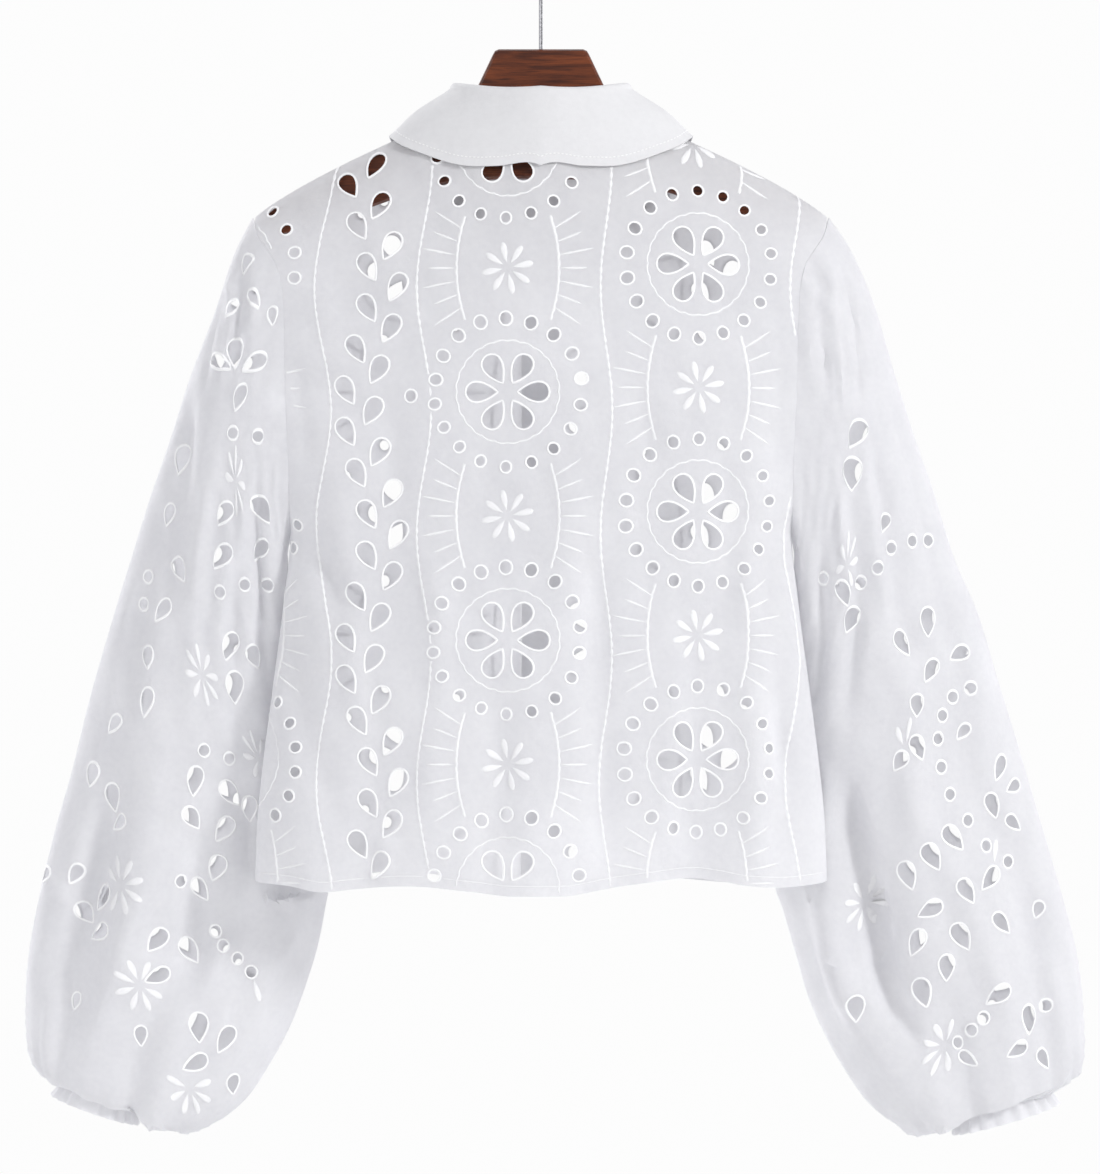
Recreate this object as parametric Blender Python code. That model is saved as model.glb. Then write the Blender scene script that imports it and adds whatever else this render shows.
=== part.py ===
"""A cropped lace blouse with full sleeves, hanging buttoned on a wooden hanger.

Sizes are in millimetres. x runs across, positive to the wearer's left, y runs to
the back of the garment, and drop is the distance below the point where the hook
rests. MM turns them into metres when a mesh is made.
"""
import math

import bpy
import numpy as np
from mathutils import Vector
from mathutils.geometry import delaunay_2d_cdt

MM = 0.001

# Cloth and seams
WALL = 1.2
COLLAR_WALL = 1.6
SEAM = 0.3
ARMHOLE_SEAM = 1.1
SLEEVE_SEAM = 0.7
LAP = 4.6


def table(names, *rows):
    """A table with named columns."""
    return {name: np.array(column, float) for name, column in zip(names.split(), zip(*rows))}


# Body: the shoulder line, then how wide the panels and the tube they form are
BODY_DEPTH = 46.0
BODY_SQUARENESS = 2.5
SHOULDER_ROLL = 80.0
SHOULDER_TIP_DROP = 216.0
ARMPIT_DROP = 437.5
SIDE_DROP = 679.5
BODY_TOP = 143.0
BODY_BOTTOM = 692.0
SHOULDER = table(
    "out drop",
    (-30, 125.5), (0, 110), (30, 125.5), (62, 144), (102, 162), (140, 180),
    (170, 196), (190, 208.5), (200, 216), (206, 222),
)
BODY = table(
    "drop edge reach",
    (216, 200, 240), (228, 197, 240), (238, 191, 236), (251, 183, 225),
    (273, 179, 212), (343, 177, 199), (413, 174.5, 184), (437.5, 174.5, 174.6),
    (483, 179, 179), (553, 188, 188), (609, 195, 195), (644, 198, 198), (692, 199.5, 199.5),
)
HEM = table(
    "x drop",
    (-200, 679.5), (-167, 682), (-143, 680.5), (-123, 677), (-104, 675), (-78, 677.5),
    (-52, 681), (-13, 687), (19, 687), (48, 684), (90, 680.5), (130, 683),
    (151, 685), (175, 681), (200, 679.5),
)
BODY_FOLDS = table(
    "x spread height start",
    (160, 14, 5, 420), (118, 17, -6, 330), (55, 18, 3, 450), (6, 26, 6, 380),
    (-52, 18, -3, 300), (-104, 24, -8, 330), (-152, 16, 6, 420),
)

NO_FOLDS = table("x spread height start", (0, 1, 0, 0))

# Neckline, collar and button band
NECK_HALF = 62.0
NECK_SIDE_DROP = 144.0
NECK_BACK_DIP = 13.0
NECK_FRONT_DIP = 42.0
STAND = table("turn height", (0, 28), (90, 20), (180, 27))
STAND_OVERLAP = 9.0
STAND_INSET = 0.7
STAND_TAPER = 1.0
STAND_LIFT = 2.4
STAND_LAP_TURN = -140.0
STAND_LAP_EASE = 36.0
LEAF_END = 167.0
LEAF_ROLL = 2.4
LEAF_CREST = table("out up", (-1.2, 0.5), (0.3, 1.3), (1.6, 0.3), (LEAF_ROLL, -2.2))
LEAF_LIE = 0.9
LEAF_LIFT = 1.6
LEAF_LIFT_TURNS = 14.0
LEAF_UNDER_LEAST = 0.02
LEAF = table(
    "turn x under",
    (0, 0, 73), (35, 45, 49), (60, 78, 24), (80, 100, 5), (90, 104, 0),
    (105, 101, 8), (130, 86, 38), (150, 69, 68), (167, 50, 86),
)
BAND_HALF = 14.0
BUTTON_RADIUS = 5.5
BUTTON_THICKNESS = 2.4
BUTTON_COUNT = 6
BUTTON_FIRST_DROP = 214.0
BUTTON_PITCH = 84.0
BUTTON_PROFILE = table("radius rise", (1, 0), (1, 0.75), (0.9, 1), (0.7, 1), (0.6, 0.75))

# Sleeves: the overarm line and the underarm line, and the half depth between them
SLEEVE_LEFT = table(
    "over_x over_drop over_y under_x under_drop under_y depth",
    (200.6, 216.6, 0, 176, 438.2, 0, 23), (213.5, 242, -1, 181.5, 452, -3, 26),
    (228, 283, -4, 183, 475, -10, 31), (245, 326, -9, 182, 505, -23, 36),
    (260, 371, -14, 179, 540, -37, 40), (275, 413, -19, 173, 575, -48, 42),
    (288, 453, -24, 166, 612, -56, 44), (304.5, 505, -30, 158, 650, -61, 45),
    (319, 554, -35, 152, 683, -63, 46), (332, 605, -39, 155, 702, -64, 46),
    (344, 646, -42, 160, 728, -64, 46), (354, 687, -44, 168, 755, -62, 46),
    (360.5, 718, -45, 180, 787, -60, 45), (364.7, 750, -46, 194, 813, -57, 43),
    (365.4, 776, -46, 211, 838, -54, 40), (364, 799, -46, 232, 854, -51, 36),
    (358, 816, -46, 256, 862, -49, 31), (343, 823, -46, 283, 844, -47, 24),
)
SLEEVE_RIGHT = table(
    "over_x over_drop over_y under_x under_drop under_y depth",
    (200.6, 216.6, 0, 176, 438.2, 0, 23), (215, 238, -1, 181.5, 452, -3, 26),
    (231, 272, -4, 183, 475, -10, 31), (246, 320, -9, 183, 505, -23, 36),
    (261, 366, -14, 181, 540, -37, 40), (276, 408, -19, 177, 575, -48, 42),
    (290, 452, -24, 172, 612, -56, 44), (308, 493, -30, 168, 650, -61, 45),
    (323, 541, -35, 167.5, 683, -63, 46), (337, 585, -39, 174, 705, -64, 46),
    (350, 628, -42, 183, 736, -64, 46), (362, 668, -44, 192, 767, -62, 46),
    (372, 703, -45, 204, 794, -60, 45), (380, 736, -46, 220, 822, -57, 43),
    (384, 770, -46, 235, 842, -54, 40), (385, 800, -46, 252, 855, -51, 36),
    (381, 822, -46, 270, 864, -49, 31), (364, 829, -46, 290, 851, -47, 24),
)
ARMHOLE_BLEND = 70.0
SLEEVE_FOLDS_LEFT = table(
    "across spread height start end",
    (0.30, 0.06, 3, 90, 420), (-0.34, 0.07, -4, 60, 440), (0.55, 0.06, -4, 200, 500),
    (0.74, 0.05, 4, 260, 520), (-0.62, 0.06, 4, 150, 470), (0.12, 0.05, -3, 250, 520),
)
SLEEVE_FOLDS_RIGHT = table(
    "across spread height start end",
    (0.62, 0.05, -8, 240, 530), (0.74, 0.05, 7, 200, 540), (0.30, 0.06, -3, 120, 420),
    (-0.30, 0.07, 4, 70, 430), (-0.58, 0.06, -4, 180, 480), (0.16, 0.05, 3, 260, 520),
)
FOLD_RISE = 0.45
FOLD_FALL = 0.3
HEAD_GATHERS = 12
HEAD_GATHER_HEIGHT = 1.6
HEAD_GATHER_LENGTH = 60.0
HEAD_GATHER_START = 14.0
HEAD_GATHER_SPREAD = 0.42
HEAD_GATHER_FADE = 0.2
CUFF_GATHERS = 20
CUFF_GATHER_HEIGHT = 1.3
CUFF_GATHER_LENGTH = 46.0
CUFF_LENGTH = 12.5
CUFF_TUCK = 1.0
CUFF_INSET = 1.4
CUFF_FLARE = 2.6
CUFF_RUFFLE = 2.0
CUFF_STRAIGHT = 0.45
PRESS_SLOPE = 3.2
PRESS_SOFTNESS = 4.0
PRESS_START = 8.0
PRESS_BESIDE = 12.0

# Eyelet pattern: medallions in two columns, half a repeat apart, and a leafy vine
REPEAT_ACROSS = 332.0
REPEAT_DOWN = 171.3
COLUMNS = table("x drop", (23.0, 168.0), (-109.0, 250.5))
MEDALLION_ROWS = range(-1, 5)
VINE_ROWS = range(-2, 38)
PETALS = 6
PETAL_LENGTH = 21.0
PETAL_WIDTH = 13.0
PETAL_CENTRE = 18.0
VINE_X = 118.0
VINE_SWAY = 8.5
VINE_DROP = 181.0
VINE_BEND_DROP = 266.0
VINE_PITCH = REPEAT_DOWN / 12
VINE_HALF = 9.5
LEAF_LENGTH = 20.0
LEAF_WIDTH = 11.5
LEAF_LEAN = 28.0
EDGE_MARGIN = 3.0
HOLE_SIDES = 6
HOLE_GAP = 2.0
HOLE_SWELL = 1.5

# Sleeve eyelets on the back of each sleeve, where they hang: centre, long axis, size
SLEEVE_HOLES_LEFT = table(
    "x drop lean length width",
    (206, 249, 20, 14, 7), (199, 274, -30, 14, 7), (215, 280, 40, 12, 6), (186, 285, 0, 12, 6),
    (212, 311, 0, 20, 10), (199, 318, 60, 18, 10), (222, 318, -60, 18, 9), (209, 342, 20, 18, 8),
    (253, 384, 15, 20, 12), (262, 423, 20, 15, 8), (220, 423, 30, 17, 10), (194, 420, -30, 20, 11),
    (222, 453, 35, 19, 11), (195, 448, 30, 16, 9), (253, 461, -30, 18, 11), (266, 490, 35, 17, 10),
    (275, 523, 0, 15, 9), (276, 554, 10, 20, 9), (300, 571, 40, 14, 8),
    (217, 516, 20, 19, 11), (201, 523, -20, 17, 10), (214, 545, 0, 22, 12), (226, 528, 60, 15, 9),
    (242, 609, 10, 20, 10), (218, 618, -35, 20, 11), (245, 636, -30, 17, 10), (222, 644, 35, 19, 11),
    (204, 630, 0, 18, 10), (316, 606, 20, 16, 10), (304, 622, 0, 19, 11), (300, 640, 60, 16, 9),
    (311, 692, 30, 19, 11), (325, 704, -40, 17, 10), (311, 717, 60, 17, 10),
    (228, 671, 20, 18, 11), (238, 687, -30, 17, 9), (234, 702, 0, 15, 9),
    (269, 722, 40, 18, 11), (246, 730, -30, 19, 11), (269, 748, 70, 18, 10),
    (241, 783, 0, 20, 12), (223, 793, 30, 20, 11), (244, 808, 70, 18, 11), (218, 825, 0, 15, 9),
    (349, 678, 60, 14, 8), (330, 675, 30, 14, 8), (330, 765, 20, 12, 7), (282, 790, 0, 14, 8),
)
SLEEVE_HOLES_RIGHT = table(
    "x drop lean length width",
    (193, 230, 0, 14, 9), (219, 368, 30, 20, 12), (216, 395, 0, 22, 13),
    (211, 478, -20, 18, 9), (216, 497, 20, 18, 10), (211, 514, 0, 15, 8),
    (270, 498, 0, 20, 11), (253, 513, -30, 19, 10), (273, 533, 30, 17, 9), (294, 521, 60, 14, 9),
    (263, 557, 0, 15, 9), (263, 586, -20, 17, 9), (251, 595, 30, 14, 9),
    (322, 601, 20, 18, 9), (334, 614, 60, 15, 8), (318, 628, -20, 18, 9), (334, 640, -50, 14, 8),
    (288, 650, -40, 20, 11), (273, 662, -30, 20, 11), (258, 676, -20, 20, 11),
    (255, 691, 10, 18, 10), (298, 688, -30, 18, 10), (316, 679, 40, 19, 10), (273, 699, 60, 18, 10),
    (324, 710, -40, 17, 9), (294, 719, -30, 20, 11), (264, 723, 20, 19, 10), (284, 740, 0, 18, 10),
    (269, 757, -20, 20, 11), (320, 760, 50, 19, 10), (343, 777, 0, 20, 10), (334, 798, 60, 16, 9),
    (354, 806, -30, 15, 9), (187, 640, 0, 17, 10), (192, 672, 0, 20, 11), (222, 770, 0, 18, 10),
    (300, 806, -60, 15, 8), (352, 700, 20, 12, 7), (296, 575, 40, 12, 7), (240, 430, 20, 12, 7),
)
FRONT_SHIFT = 14.0

# Hanger: half of its outline, then the hook
HANGER = table(
    "out top bottom half_thick",
    (0, 98, 188, 9), (29.5, 98, 188.5, 9), (32.2, 99.2, 188.7, 9), (33.8, 102, 188.8, 9),
    (40, 115, 189, 8.8), (46, 127.5, 189.5, 8.5), (52, 138, 190, 8.2), (58, 145.4, 190.8, 7.8),
    (62, 146.6, 191.4, 7.0), (75, 151.5, 193.2, 6.6), (102, 163.8, 202, 5.9), (128, 176.2, 211.3, 5.6),
    (155, 190.1, 220.4, 5.2), (186, 208.4, 229, 4.6), (192.5, 213.8, 228, 3.8), (194.5, 217, 224, 2),
)
HANGER_CORNER = 5.0
HANGER_CORNER_SHARE = 0.8
HANGER_CORNER_SIDES = 3
WIRE_RADIUS = 1.45
HOOK_INNER_RADIUS = 22.0
HOOK_STEM_TOP = 61.0
HOOK_START = -52.0
HOOK_END = 205.0
HOOK_STEPS = 18
HOOK_BEND_STEPS = 7

# Mesh spacing
ROW_STEP = 2.0
ACROSS_SAMPLES = 181
BODY_SPACING = 40.0
SLEEVE_SPACING = 36.0
EDGE_SPACING = 26.0
GRID_CLEARANCE = 6.0
RIDGE_PITCH = 15.0
RIDGE_DROPS = (1.2, 4.5, 12.0)
RIDGE_MARGIN = 0.8
ROW_SHARE = 0.87
EDGE_CLEARANCE = 0.45
RIDGE_CLEARANCE = 0.4
NEIGHBOUR = 60.0
SEAM_SPACING = 12.0
NECK_SPACING = 7.0
HEM_CORNER = 199.3
GATHER_ROWS = 60.0
HEAD_POINTS = 24
FOOT_POINTS = 32
FIND_LIMIT = 3.0
FRONT_SMALLEST = 16.0
CUFF_SIDES = 3
CUFF_ROWS = 3
STAND_POINTS = 31
LEAF_POINTS = 27
STAND_ROWS = 4
LEAF_ROWS = 4
BUTTON_SIDES = 12


def smooth(at, xs, ys):
    """A smooth curve through a table's points that never overshoots them."""
    steps = np.diff(xs)
    slopes = np.diff(ys) / steps
    product = slopes[:-1] * slopes[1:]
    total = np.where(product > 0, slopes[:-1] + slopes[1:], 1)
    inner = np.where(product > 0, 2 * product / total, 0)
    tangents = np.concatenate([slopes[:1], inner, slopes[-1:]])
    at = np.clip(at, xs[0], xs[-1])
    i = np.clip(np.searchsorted(xs, at, side="right") - 1, 0, len(steps) - 1)
    t = (at - xs[i]) / steps[i]
    bend = t * (1 - t) * ((1 - t) * tangents[i] - t * tangents[i + 1])
    return ys[i] * (1 + 2 * t) * (1 - t) ** 2 + ys[i + 1] * t * t * (3 - 2 * t) + steps[i] * bend


def ease(t):
    """Goes from 0 to 1 with soft ends."""
    t = np.clip(t, 0, 1)
    return t * t * (3 - 2 * t)


def shoulder_drop(x):
    return smooth(np.abs(x), SHOULDER["out"], SHOULDER["drop"])


def body_end(drop):
    """How far out a body panel reaches: to the shoulder line, the armhole or the side seam."""
    outs = np.linspace(0, SHOULDER["out"][-1], 1200)
    on_shoulder = np.interp(drop, shoulder_drop(outs), outs)
    below = smooth(drop, BODY["drop"], BODY["edge"])
    return np.where(drop < SHOULDER_TIP_DROP, on_shoulder, below)


def body_depth(x, drop, folds):
    """Distance of a panel from the garment's middle plane."""
    under = np.maximum(drop - shoulder_drop(x), 0)
    fall = np.sqrt(1 - np.exp(-under / SHOULDER_ROLL))
    reach = smooth(drop, BODY["drop"], BODY["reach"])
    ratio = np.clip(np.abs(x) / reach, 0, 1)
    plan = (1 - ratio ** BODY_SQUARENESS) ** (1 / BODY_SQUARENESS)
    ripple = np.zeros(np.shape(x * drop))
    for centre, spread, height, start in zip(*folds.values()):
        grown = ease((drop - start) / (SIDE_DROP - start))
        ripple = ripple + height * grown * np.exp(-((x - centre) / spread) ** 2)
    return SEAM / 2 + (BODY_DEPTH * fall + ripple) * plan


def mirrored(folds):
    """The same folds on the other panel, from left to right."""
    return {**folds, "x": -folds["x"]}


def hem_drop(x):
    return smooth(x, HEM["x"], HEM["drop"])


def neck_drop(x, dip):
    return NECK_SIDE_DROP + dip * (1 - (x / NECK_HALF) ** 2)


class Cloth:
    """A curved sheet with a flat chart: distance across it, and distance down its rows."""

    def __init__(self, top, rows, middle, flipped):
        self.top = top
        self.flipped = flipped
        lengths = np.linalg.norm(np.diff(rows, axis=1), axis=2)
        arcs = np.concatenate([np.zeros((len(rows), 1)), np.cumsum(lengths, axis=1)], axis=1)
        self.width = arcs[:, -1]
        self.start = -np.array([np.interp(middle, range(arcs.shape[1]), arc) for arc in arcs])
        self.fractions = np.linspace(0, 1, rows.shape[1])
        self.points = np.empty_like(rows)
        for i, (row, arc) in enumerate(zip(rows, arcs)):
            for axis in range(3):
                self.points[i, :, axis] = np.interp(self.fractions * arc[-1], arc, row[:, axis])
        across = np.gradient(self.points, axis=1)
        down = np.gradient(self.points, axis=0)
        normals = np.cross(across, down)
        if flipped:
            normals = -normals
        self.normals = normals / np.maximum(np.linalg.norm(normals, axis=2, keepdims=True), 1e-9)

    def row(self, down):
        i = np.clip((down - self.top) / ROW_STEP, 0, len(self.points) - 1.001)
        low = i.astype(int)
        return low, i - low

    def span(self, down):
        """The chart's left and right ends at a row."""
        low, t = self.row(np.asarray(down, float))
        start = self.start[low] * (1 - t) + self.start[low + 1] * t
        width = self.width[low] * (1 - t) + self.width[low + 1] * t
        return start, start + width

    def place(self, flat, out):
        """Points in space, out by that much from the sheet, for points of the chart."""
        low, t = self.row(flat[:, 1])
        start, end = self.span(flat[:, 1])
        f = np.clip((flat[:, 0] - start) / (end - start), 0, 1) * (self.points.shape[1] - 1)
        left = np.minimum(f.astype(int), self.points.shape[1] - 2)
        s = (f - left)[:, None]
        t = t[:, None]

        def blend(grid):
            upper = grid[low, left] * (1 - s) + grid[low, left + 1] * s
            lower = grid[low + 1, left] * (1 - s) + grid[low + 1, left + 1] * s
            return upper * (1 - t) + lower * t

        normals = blend(self.normals)
        normals /= np.linalg.norm(normals, axis=1, keepdims=True)
        return blend(self.points) + out * normals

    def across(self, x, down):
        """The chart's distance across at which a row passes x."""
        low, t = self.row(np.array([down], float))
        found = []
        for i in (low[0], low[0] + 1):
            xs = self.points[i, :, 0]
            arc = self.start[i] + self.width[i] * self.fractions
            order = np.argsort(xs)
            found.append(np.interp(x, xs[order], arc[order]))
        return found[0] * (1 - t[0]) + found[1] * t[0]

    def find(self, x, drop):
        """The chart's point that hangs at x and drop."""
        gap = (self.points[:, :, 0] - x) ** 2 + (self.points[:, :, 2] + drop) ** 2
        i, j = np.unravel_index(np.argmin(gap), gap.shape)
        flat = np.array([self.start[i] + self.width[i] * self.fractions[j], self.top + i * ROW_STEP])
        return flat, math.sqrt(gap[i, j])

    def draw(self, centre, shape):
        """A small flat outline laid on the cloth at the chart's point centre, at its true size."""
        step = 1.0
        around = np.array([centre, centre + (step, 0), centre + (0, step)])
        origin, beside, below = self.place(around, 0)
        along = np.stack([beside - origin, below - origin], axis=1) / step
        level = np.array([1.0, 0.0, 0.0])
        normal = np.cross(along[:, 0], along[:, 1])
        normal /= np.linalg.norm(normal)
        level -= normal * level.dot(normal)
        level /= np.linalg.norm(level)
        falling = np.cross(normal, level)
        if falling[2] > 0:
            falling = -falling
        in_space = shape[:, :1] * level + shape[:, 1:] * falling
        return centre + in_space @ np.linalg.pinv(along).T


def body_cloth(side, folds):
    """The back panel's sheet for side 1, the front's for side -1."""
    drops = np.arange(BODY_TOP, BODY_BOTTOM + ROW_STEP, ROW_STEP)
    shares = np.sin(np.linspace(-math.pi / 2, math.pi / 2, ACROSS_SAMPLES))
    x = body_end(drops)[:, None] * shares
    drop = np.broadcast_to(drops[:, None], x.shape)
    depth = body_depth(x, drop, folds)
    on_shoulder = drops < SHOULDER_TIP_DROP
    depth[on_shoulder, 0] = depth[on_shoulder, -1] = SEAM / 2
    rows = np.stack([x, side * depth, -drop], axis=2)
    return Cloth(BODY_TOP, rows, (ACROSS_SAMPLES - 1) / 2, side < 0)


def wave(share, count, phase):
    """Uneven gathers: a wave whose height changes from one to the next."""
    turn = 2 * math.pi * share
    uneven = 0.72 + 0.28 * np.sin(3 * turn + phase)
    return np.sin(count * turn + phase + 0.5 * np.sin(2 * turn)) * uneven


def sleeve_length(rows):
    """Distance down the sleeve's middle at each row of its table."""
    middle = np.stack([
        (rows["over_x"] + rows["under_x"]) / 2,
        (rows["over_drop"] + rows["under_drop"]) / 2,
        (rows["over_y"] + rows["under_y"]) / 2,
    ], axis=1)
    return np.concatenate([[0], np.cumsum(np.linalg.norm(np.diff(middle, axis=0), axis=1))])


def sleeve_rings(rows, half, turns):
    """The sleeve's rings before its folds, for the angles turns from overarm to underarm."""
    lengths = sleeve_length(rows)
    downs = np.arange(0, lengths[-1], ROW_STEP)
    downs = downs * lengths[-1] / downs[-1]
    at = {name: smooth(downs, lengths, column)[:, None] for name, column in rows.items()}
    over = np.stack([at["over_x"], at["over_y"], -at["over_drop"]], axis=2)
    under = np.stack([at["under_x"], at["under_y"], -at["under_drop"]], axis=2)
    reach = (over - under) / 2
    level = reach / np.linalg.norm(reach, axis=2, keepdims=True)
    out = np.array([0.0, half, 0.0]) - level * (level[:, :, 1:2] * half)
    out /= np.linalg.norm(out, axis=2, keepdims=True)
    cos = np.cos(turns)[None, :, None]
    sin = np.sin(turns)[None, :, None]
    ring = (over + under) / 2 + reach * cos + out * at["depth"][:, :, None] * sin
    share = (1 + np.cos(turns)) / 2
    drop = ARMPIT_DROP - (ARMPIT_DROP - SHOULDER_TIP_DROP) * share
    edge = body_end(drop)
    depth = body_depth(edge, drop, NO_FOLDS)
    steep = (body_depth(edge - 1, drop, NO_FOLDS) - depth).clip(0)
    clear = ARMHOLE_SEAM + WALL * steep / np.sqrt(1 + steep ** 2)
    armhole = np.stack([edge + clear, half * depth, -drop], axis=1)
    fade = (1 - np.clip(downs / ARMHOLE_BLEND, 0, 1))[:, None, None] ** 2
    ring = ring + fade * (armhole - ring[0])
    radial = level * cos + out * sin
    return downs, ring, radial


def sleeve_ripple(downs, share, folds, half, last):
    """Height of the folds and gathers: share runs 0 to 1 from overarm to underarm."""
    down = downs[:, None]
    ripple = np.zeros((len(downs), len(share)))
    signed = share * half
    for across, spread, height, start, end in zip(*folds.values()):
        run = end - start
        grown = ease((down - start) / (FOLD_RISE * run)) * ease((end - down) / (FOLD_FALL * run))
        ripple += height * grown * np.exp(-((signed - across) / spread) ** 2)
    head = np.exp(-down / HEAD_GATHER_LENGTH) * ease(down / HEAD_GATHER_START)
    head = head * ease((HEAD_GATHER_SPREAD - share) / HEAD_GATHER_FADE)
    ripple += HEAD_GATHER_HEIGHT * head * wave(signed / HEAD_GATHER_SPREAD / 2, HEAD_GATHERS, 0.6)
    cuff = np.exp((down - last) / CUFF_GATHER_LENGTH)
    ripple += CUFF_GATHER_HEIGHT * cuff * wave(signed / 2, CUFF_GATHERS, 0.0)
    return ripple


def clear_of_body(points):
    """Keeps a sleeve that hangs before the front panel clear of it."""
    x = np.abs(points[:, :, 0])
    drop = -points[:, :, 2]
    edge = smooth(drop, BODY["drop"], BODY["reach"])
    beside = np.clip(x - edge, 0, None)
    front = -body_depth(np.minimum(x, edge), drop, NO_FOLDS) - 2 * WALL - LAP
    limit = front + beside * PRESS_SLOPE
    below = (drop > ARMPIT_DROP + PRESS_START) & (x < edge + PRESS_BESIDE) & (drop < BODY_BOTTOM)
    over = (points[:, :, 1] - limit) / PRESS_SOFTNESS
    pressed = limit + PRESS_SOFTNESS * (over - np.logaddexp(0, over))
    points[:, :, 1] = np.where(below, np.minimum(points[:, :, 1], pressed), points[:, :, 1])
    return points


def sleeve_cloth(rows, side, half, folds):
    """One half of a sleeve: side 1 is the left sleeve, half 1 its back."""
    turns = np.linspace(0, math.pi, ACROSS_SAMPLES)
    downs, ring, radial = sleeve_rings(rows, half, turns)
    share = turns / math.pi
    ring = ring + radial * sleeve_ripple(downs, share, folds, half, downs[-1])[:, :, None]
    ring = clear_of_body(ring)
    ring[:, :, 1] += half * SLEEVE_SEAM / 2
    ring[:, :, 0] *= side
    return Cloth(0.0, ring, 0, side * half > 0)


def inside(polygon, points):
    """Which points lie in a closed outline."""
    within = np.zeros(len(points), bool)
    last = polygon[-1]
    for corner in polygon:
        crosses = (corner[1] > points[:, 1]) != (last[1] > points[:, 1])
        rise = last[1] - corner[1]
        at = corner[0] + (points[:, 1] - corner[1]) * (last[0] - corner[0]) / (rise if rise else 1)
        within ^= crosses & (points[:, 0] < at)
        last = corner
    return within


def distance(polygon, points):
    """Distance of each point from a closed outline."""
    nearest = np.full(len(points), np.inf)
    for a, b in zip(polygon, np.roll(polygon, -1, axis=0)):
        along = b - a
        t = np.clip((points - a) @ along / max(along @ along, 1e-9), 0, 1)
        nearest = np.minimum(nearest, np.linalg.norm(points - a - t[:, None] * along, axis=1))
    return nearest


def teardrop(length, width, lean):
    """A leaf-shaped hole, its point towards lean degrees, counted from straight down."""
    t = np.linspace(0, 2 * math.pi, HOLE_SIDES, endpoint=False)
    along = length / 2 * np.cos(t)
    beside = width / HOLE_SWELL * np.sin(t) * np.sin(t / 2)
    a = math.radians(lean)
    return np.stack([along * math.sin(a) + beside * math.cos(a),
                     along * math.cos(a) - beside * math.sin(a)], axis=1)


def body_motifs(x_shift, mirror):
    """Centres and outlines of the body's petals and leaves: x and drop on the cloth, then shape."""
    found = []
    for repeat in (-1, 0, 1):
        shift = x_shift + repeat * REPEAT_ACROSS
        for column_x, column_drop in zip(*COLUMNS.values()):
            for k in MEDALLION_ROWS:
                for petal in range(PETALS):
                    angle = petal * 360 / PETALS
                    a = math.radians(angle)
                    x = column_x + shift + PETAL_CENTRE * math.cos(a)
                    drop = column_drop + k * REPEAT_DOWN + PETAL_CENTRE * math.sin(a)
                    shape = teardrop(PETAL_LENGTH, PETAL_WIDTH, mirror * (270 - angle))
                    found.append((mirror * x, drop, shape))
        for k in VINE_ROWS:
            drop = VINE_DROP + k * VINE_PITCH
            hand = 1 if k % 2 else -1
            sway = VINE_SWAY * math.cos(2 * math.pi * (drop - VINE_BEND_DROP) / REPEAT_DOWN)
            x = VINE_X + shift - sway + hand * VINE_HALF
            shape = teardrop(LEAF_LENGTH, LEAF_WIDTH, mirror * -hand * LEAF_LEAN)
            found.append((mirror * x, drop, shape))
    return found


def fitting(holes, outline):
    """The holes that lie whole within the outline and apart from each other."""
    kept = []
    for hole in holes:
        if not inside(outline, hole).all() or distance(outline, hole).min() < EDGE_MARGIN:
            continue
        near = [other for other in kept if np.linalg.norm(other[0] - hole[0]) < NEIGHBOUR]
        if all(distance(other, hole).min() > HOLE_GAP and not inside(other, hole).any() for other in near):
            kept.append(hole)
    return kept


def cloth_mesh(cloth, outline, holes, spacing, inner, outer, ridge=None):
    """A closed wall over the charted outline, cut through at the holes; ridge adds points."""
    loops = [outline] + holes
    low, high = outline.min(axis=0), outline.max(axis=0)
    rows = np.arange(low[1], high[1], spacing * ROW_SHARE)
    grid = np.array([(x + spacing / 2 * (k % 2), y) for k, y in enumerate(rows)
                     for x in np.arange(low[0], high[0] + spacing, spacing)])
    grid = grid[inside(outline, grid)]
    grid = grid[distance(outline, grid) > spacing * EDGE_CLEARANCE]
    if ridge is not None:
        apart = np.array([np.linalg.norm(ridge - point, axis=1).min() for point in grid])
        ridge = ridge[inside(outline, ridge)]
        ridge = ridge[distance(outline, ridge) > RIDGE_MARGIN]
        grid = np.concatenate([grid[apart > spacing * RIDGE_CLEARANCE], ridge])
    for hole in holes:
        near = np.linalg.norm(grid - hole.mean(axis=0), axis=1) < NEIGHBOUR
        blocked = near.copy()
        blocked[near] = (distance(hole, grid[near]) < GRID_CLEARANCE) | inside(hole, grid[near])
        grid = grid[~blocked]
    points = np.concatenate(loops + [grid])
    edges = []
    first = 0
    for loop in loops:
        count = len(loop)
        edges += [(first + i, first + (i + 1) % count) for i in range(count)]
        first += count
    flat, _, faces, _, _, _ = delaunay_2d_cdt([Vector(p) for p in points], edges, [], 0, 1e-5)
    flat = np.array([tuple(p) for p in flat])
    faces = np.array([tuple(face) for face in faces])
    centres = flat[faces].mean(axis=1)
    keep = inside(outline, centres)
    for hole in holes:
        near = np.linalg.norm(centres - hole.mean(axis=0), axis=1) < NEIGHBOUR
        keep[near] &= ~inside(hole, centres[near])
    faces = faces[keep]
    used = np.unique(faces)
    renumber = np.full(len(flat), -1)
    renumber[used] = np.arange(len(used))
    flat, faces = flat[used], renumber[faces]
    if cloth.flipped:
        faces = faces[:, ::-1]
    return wall_mesh(cloth.place(flat, outer), cloth.place(flat, inner), faces)


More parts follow.
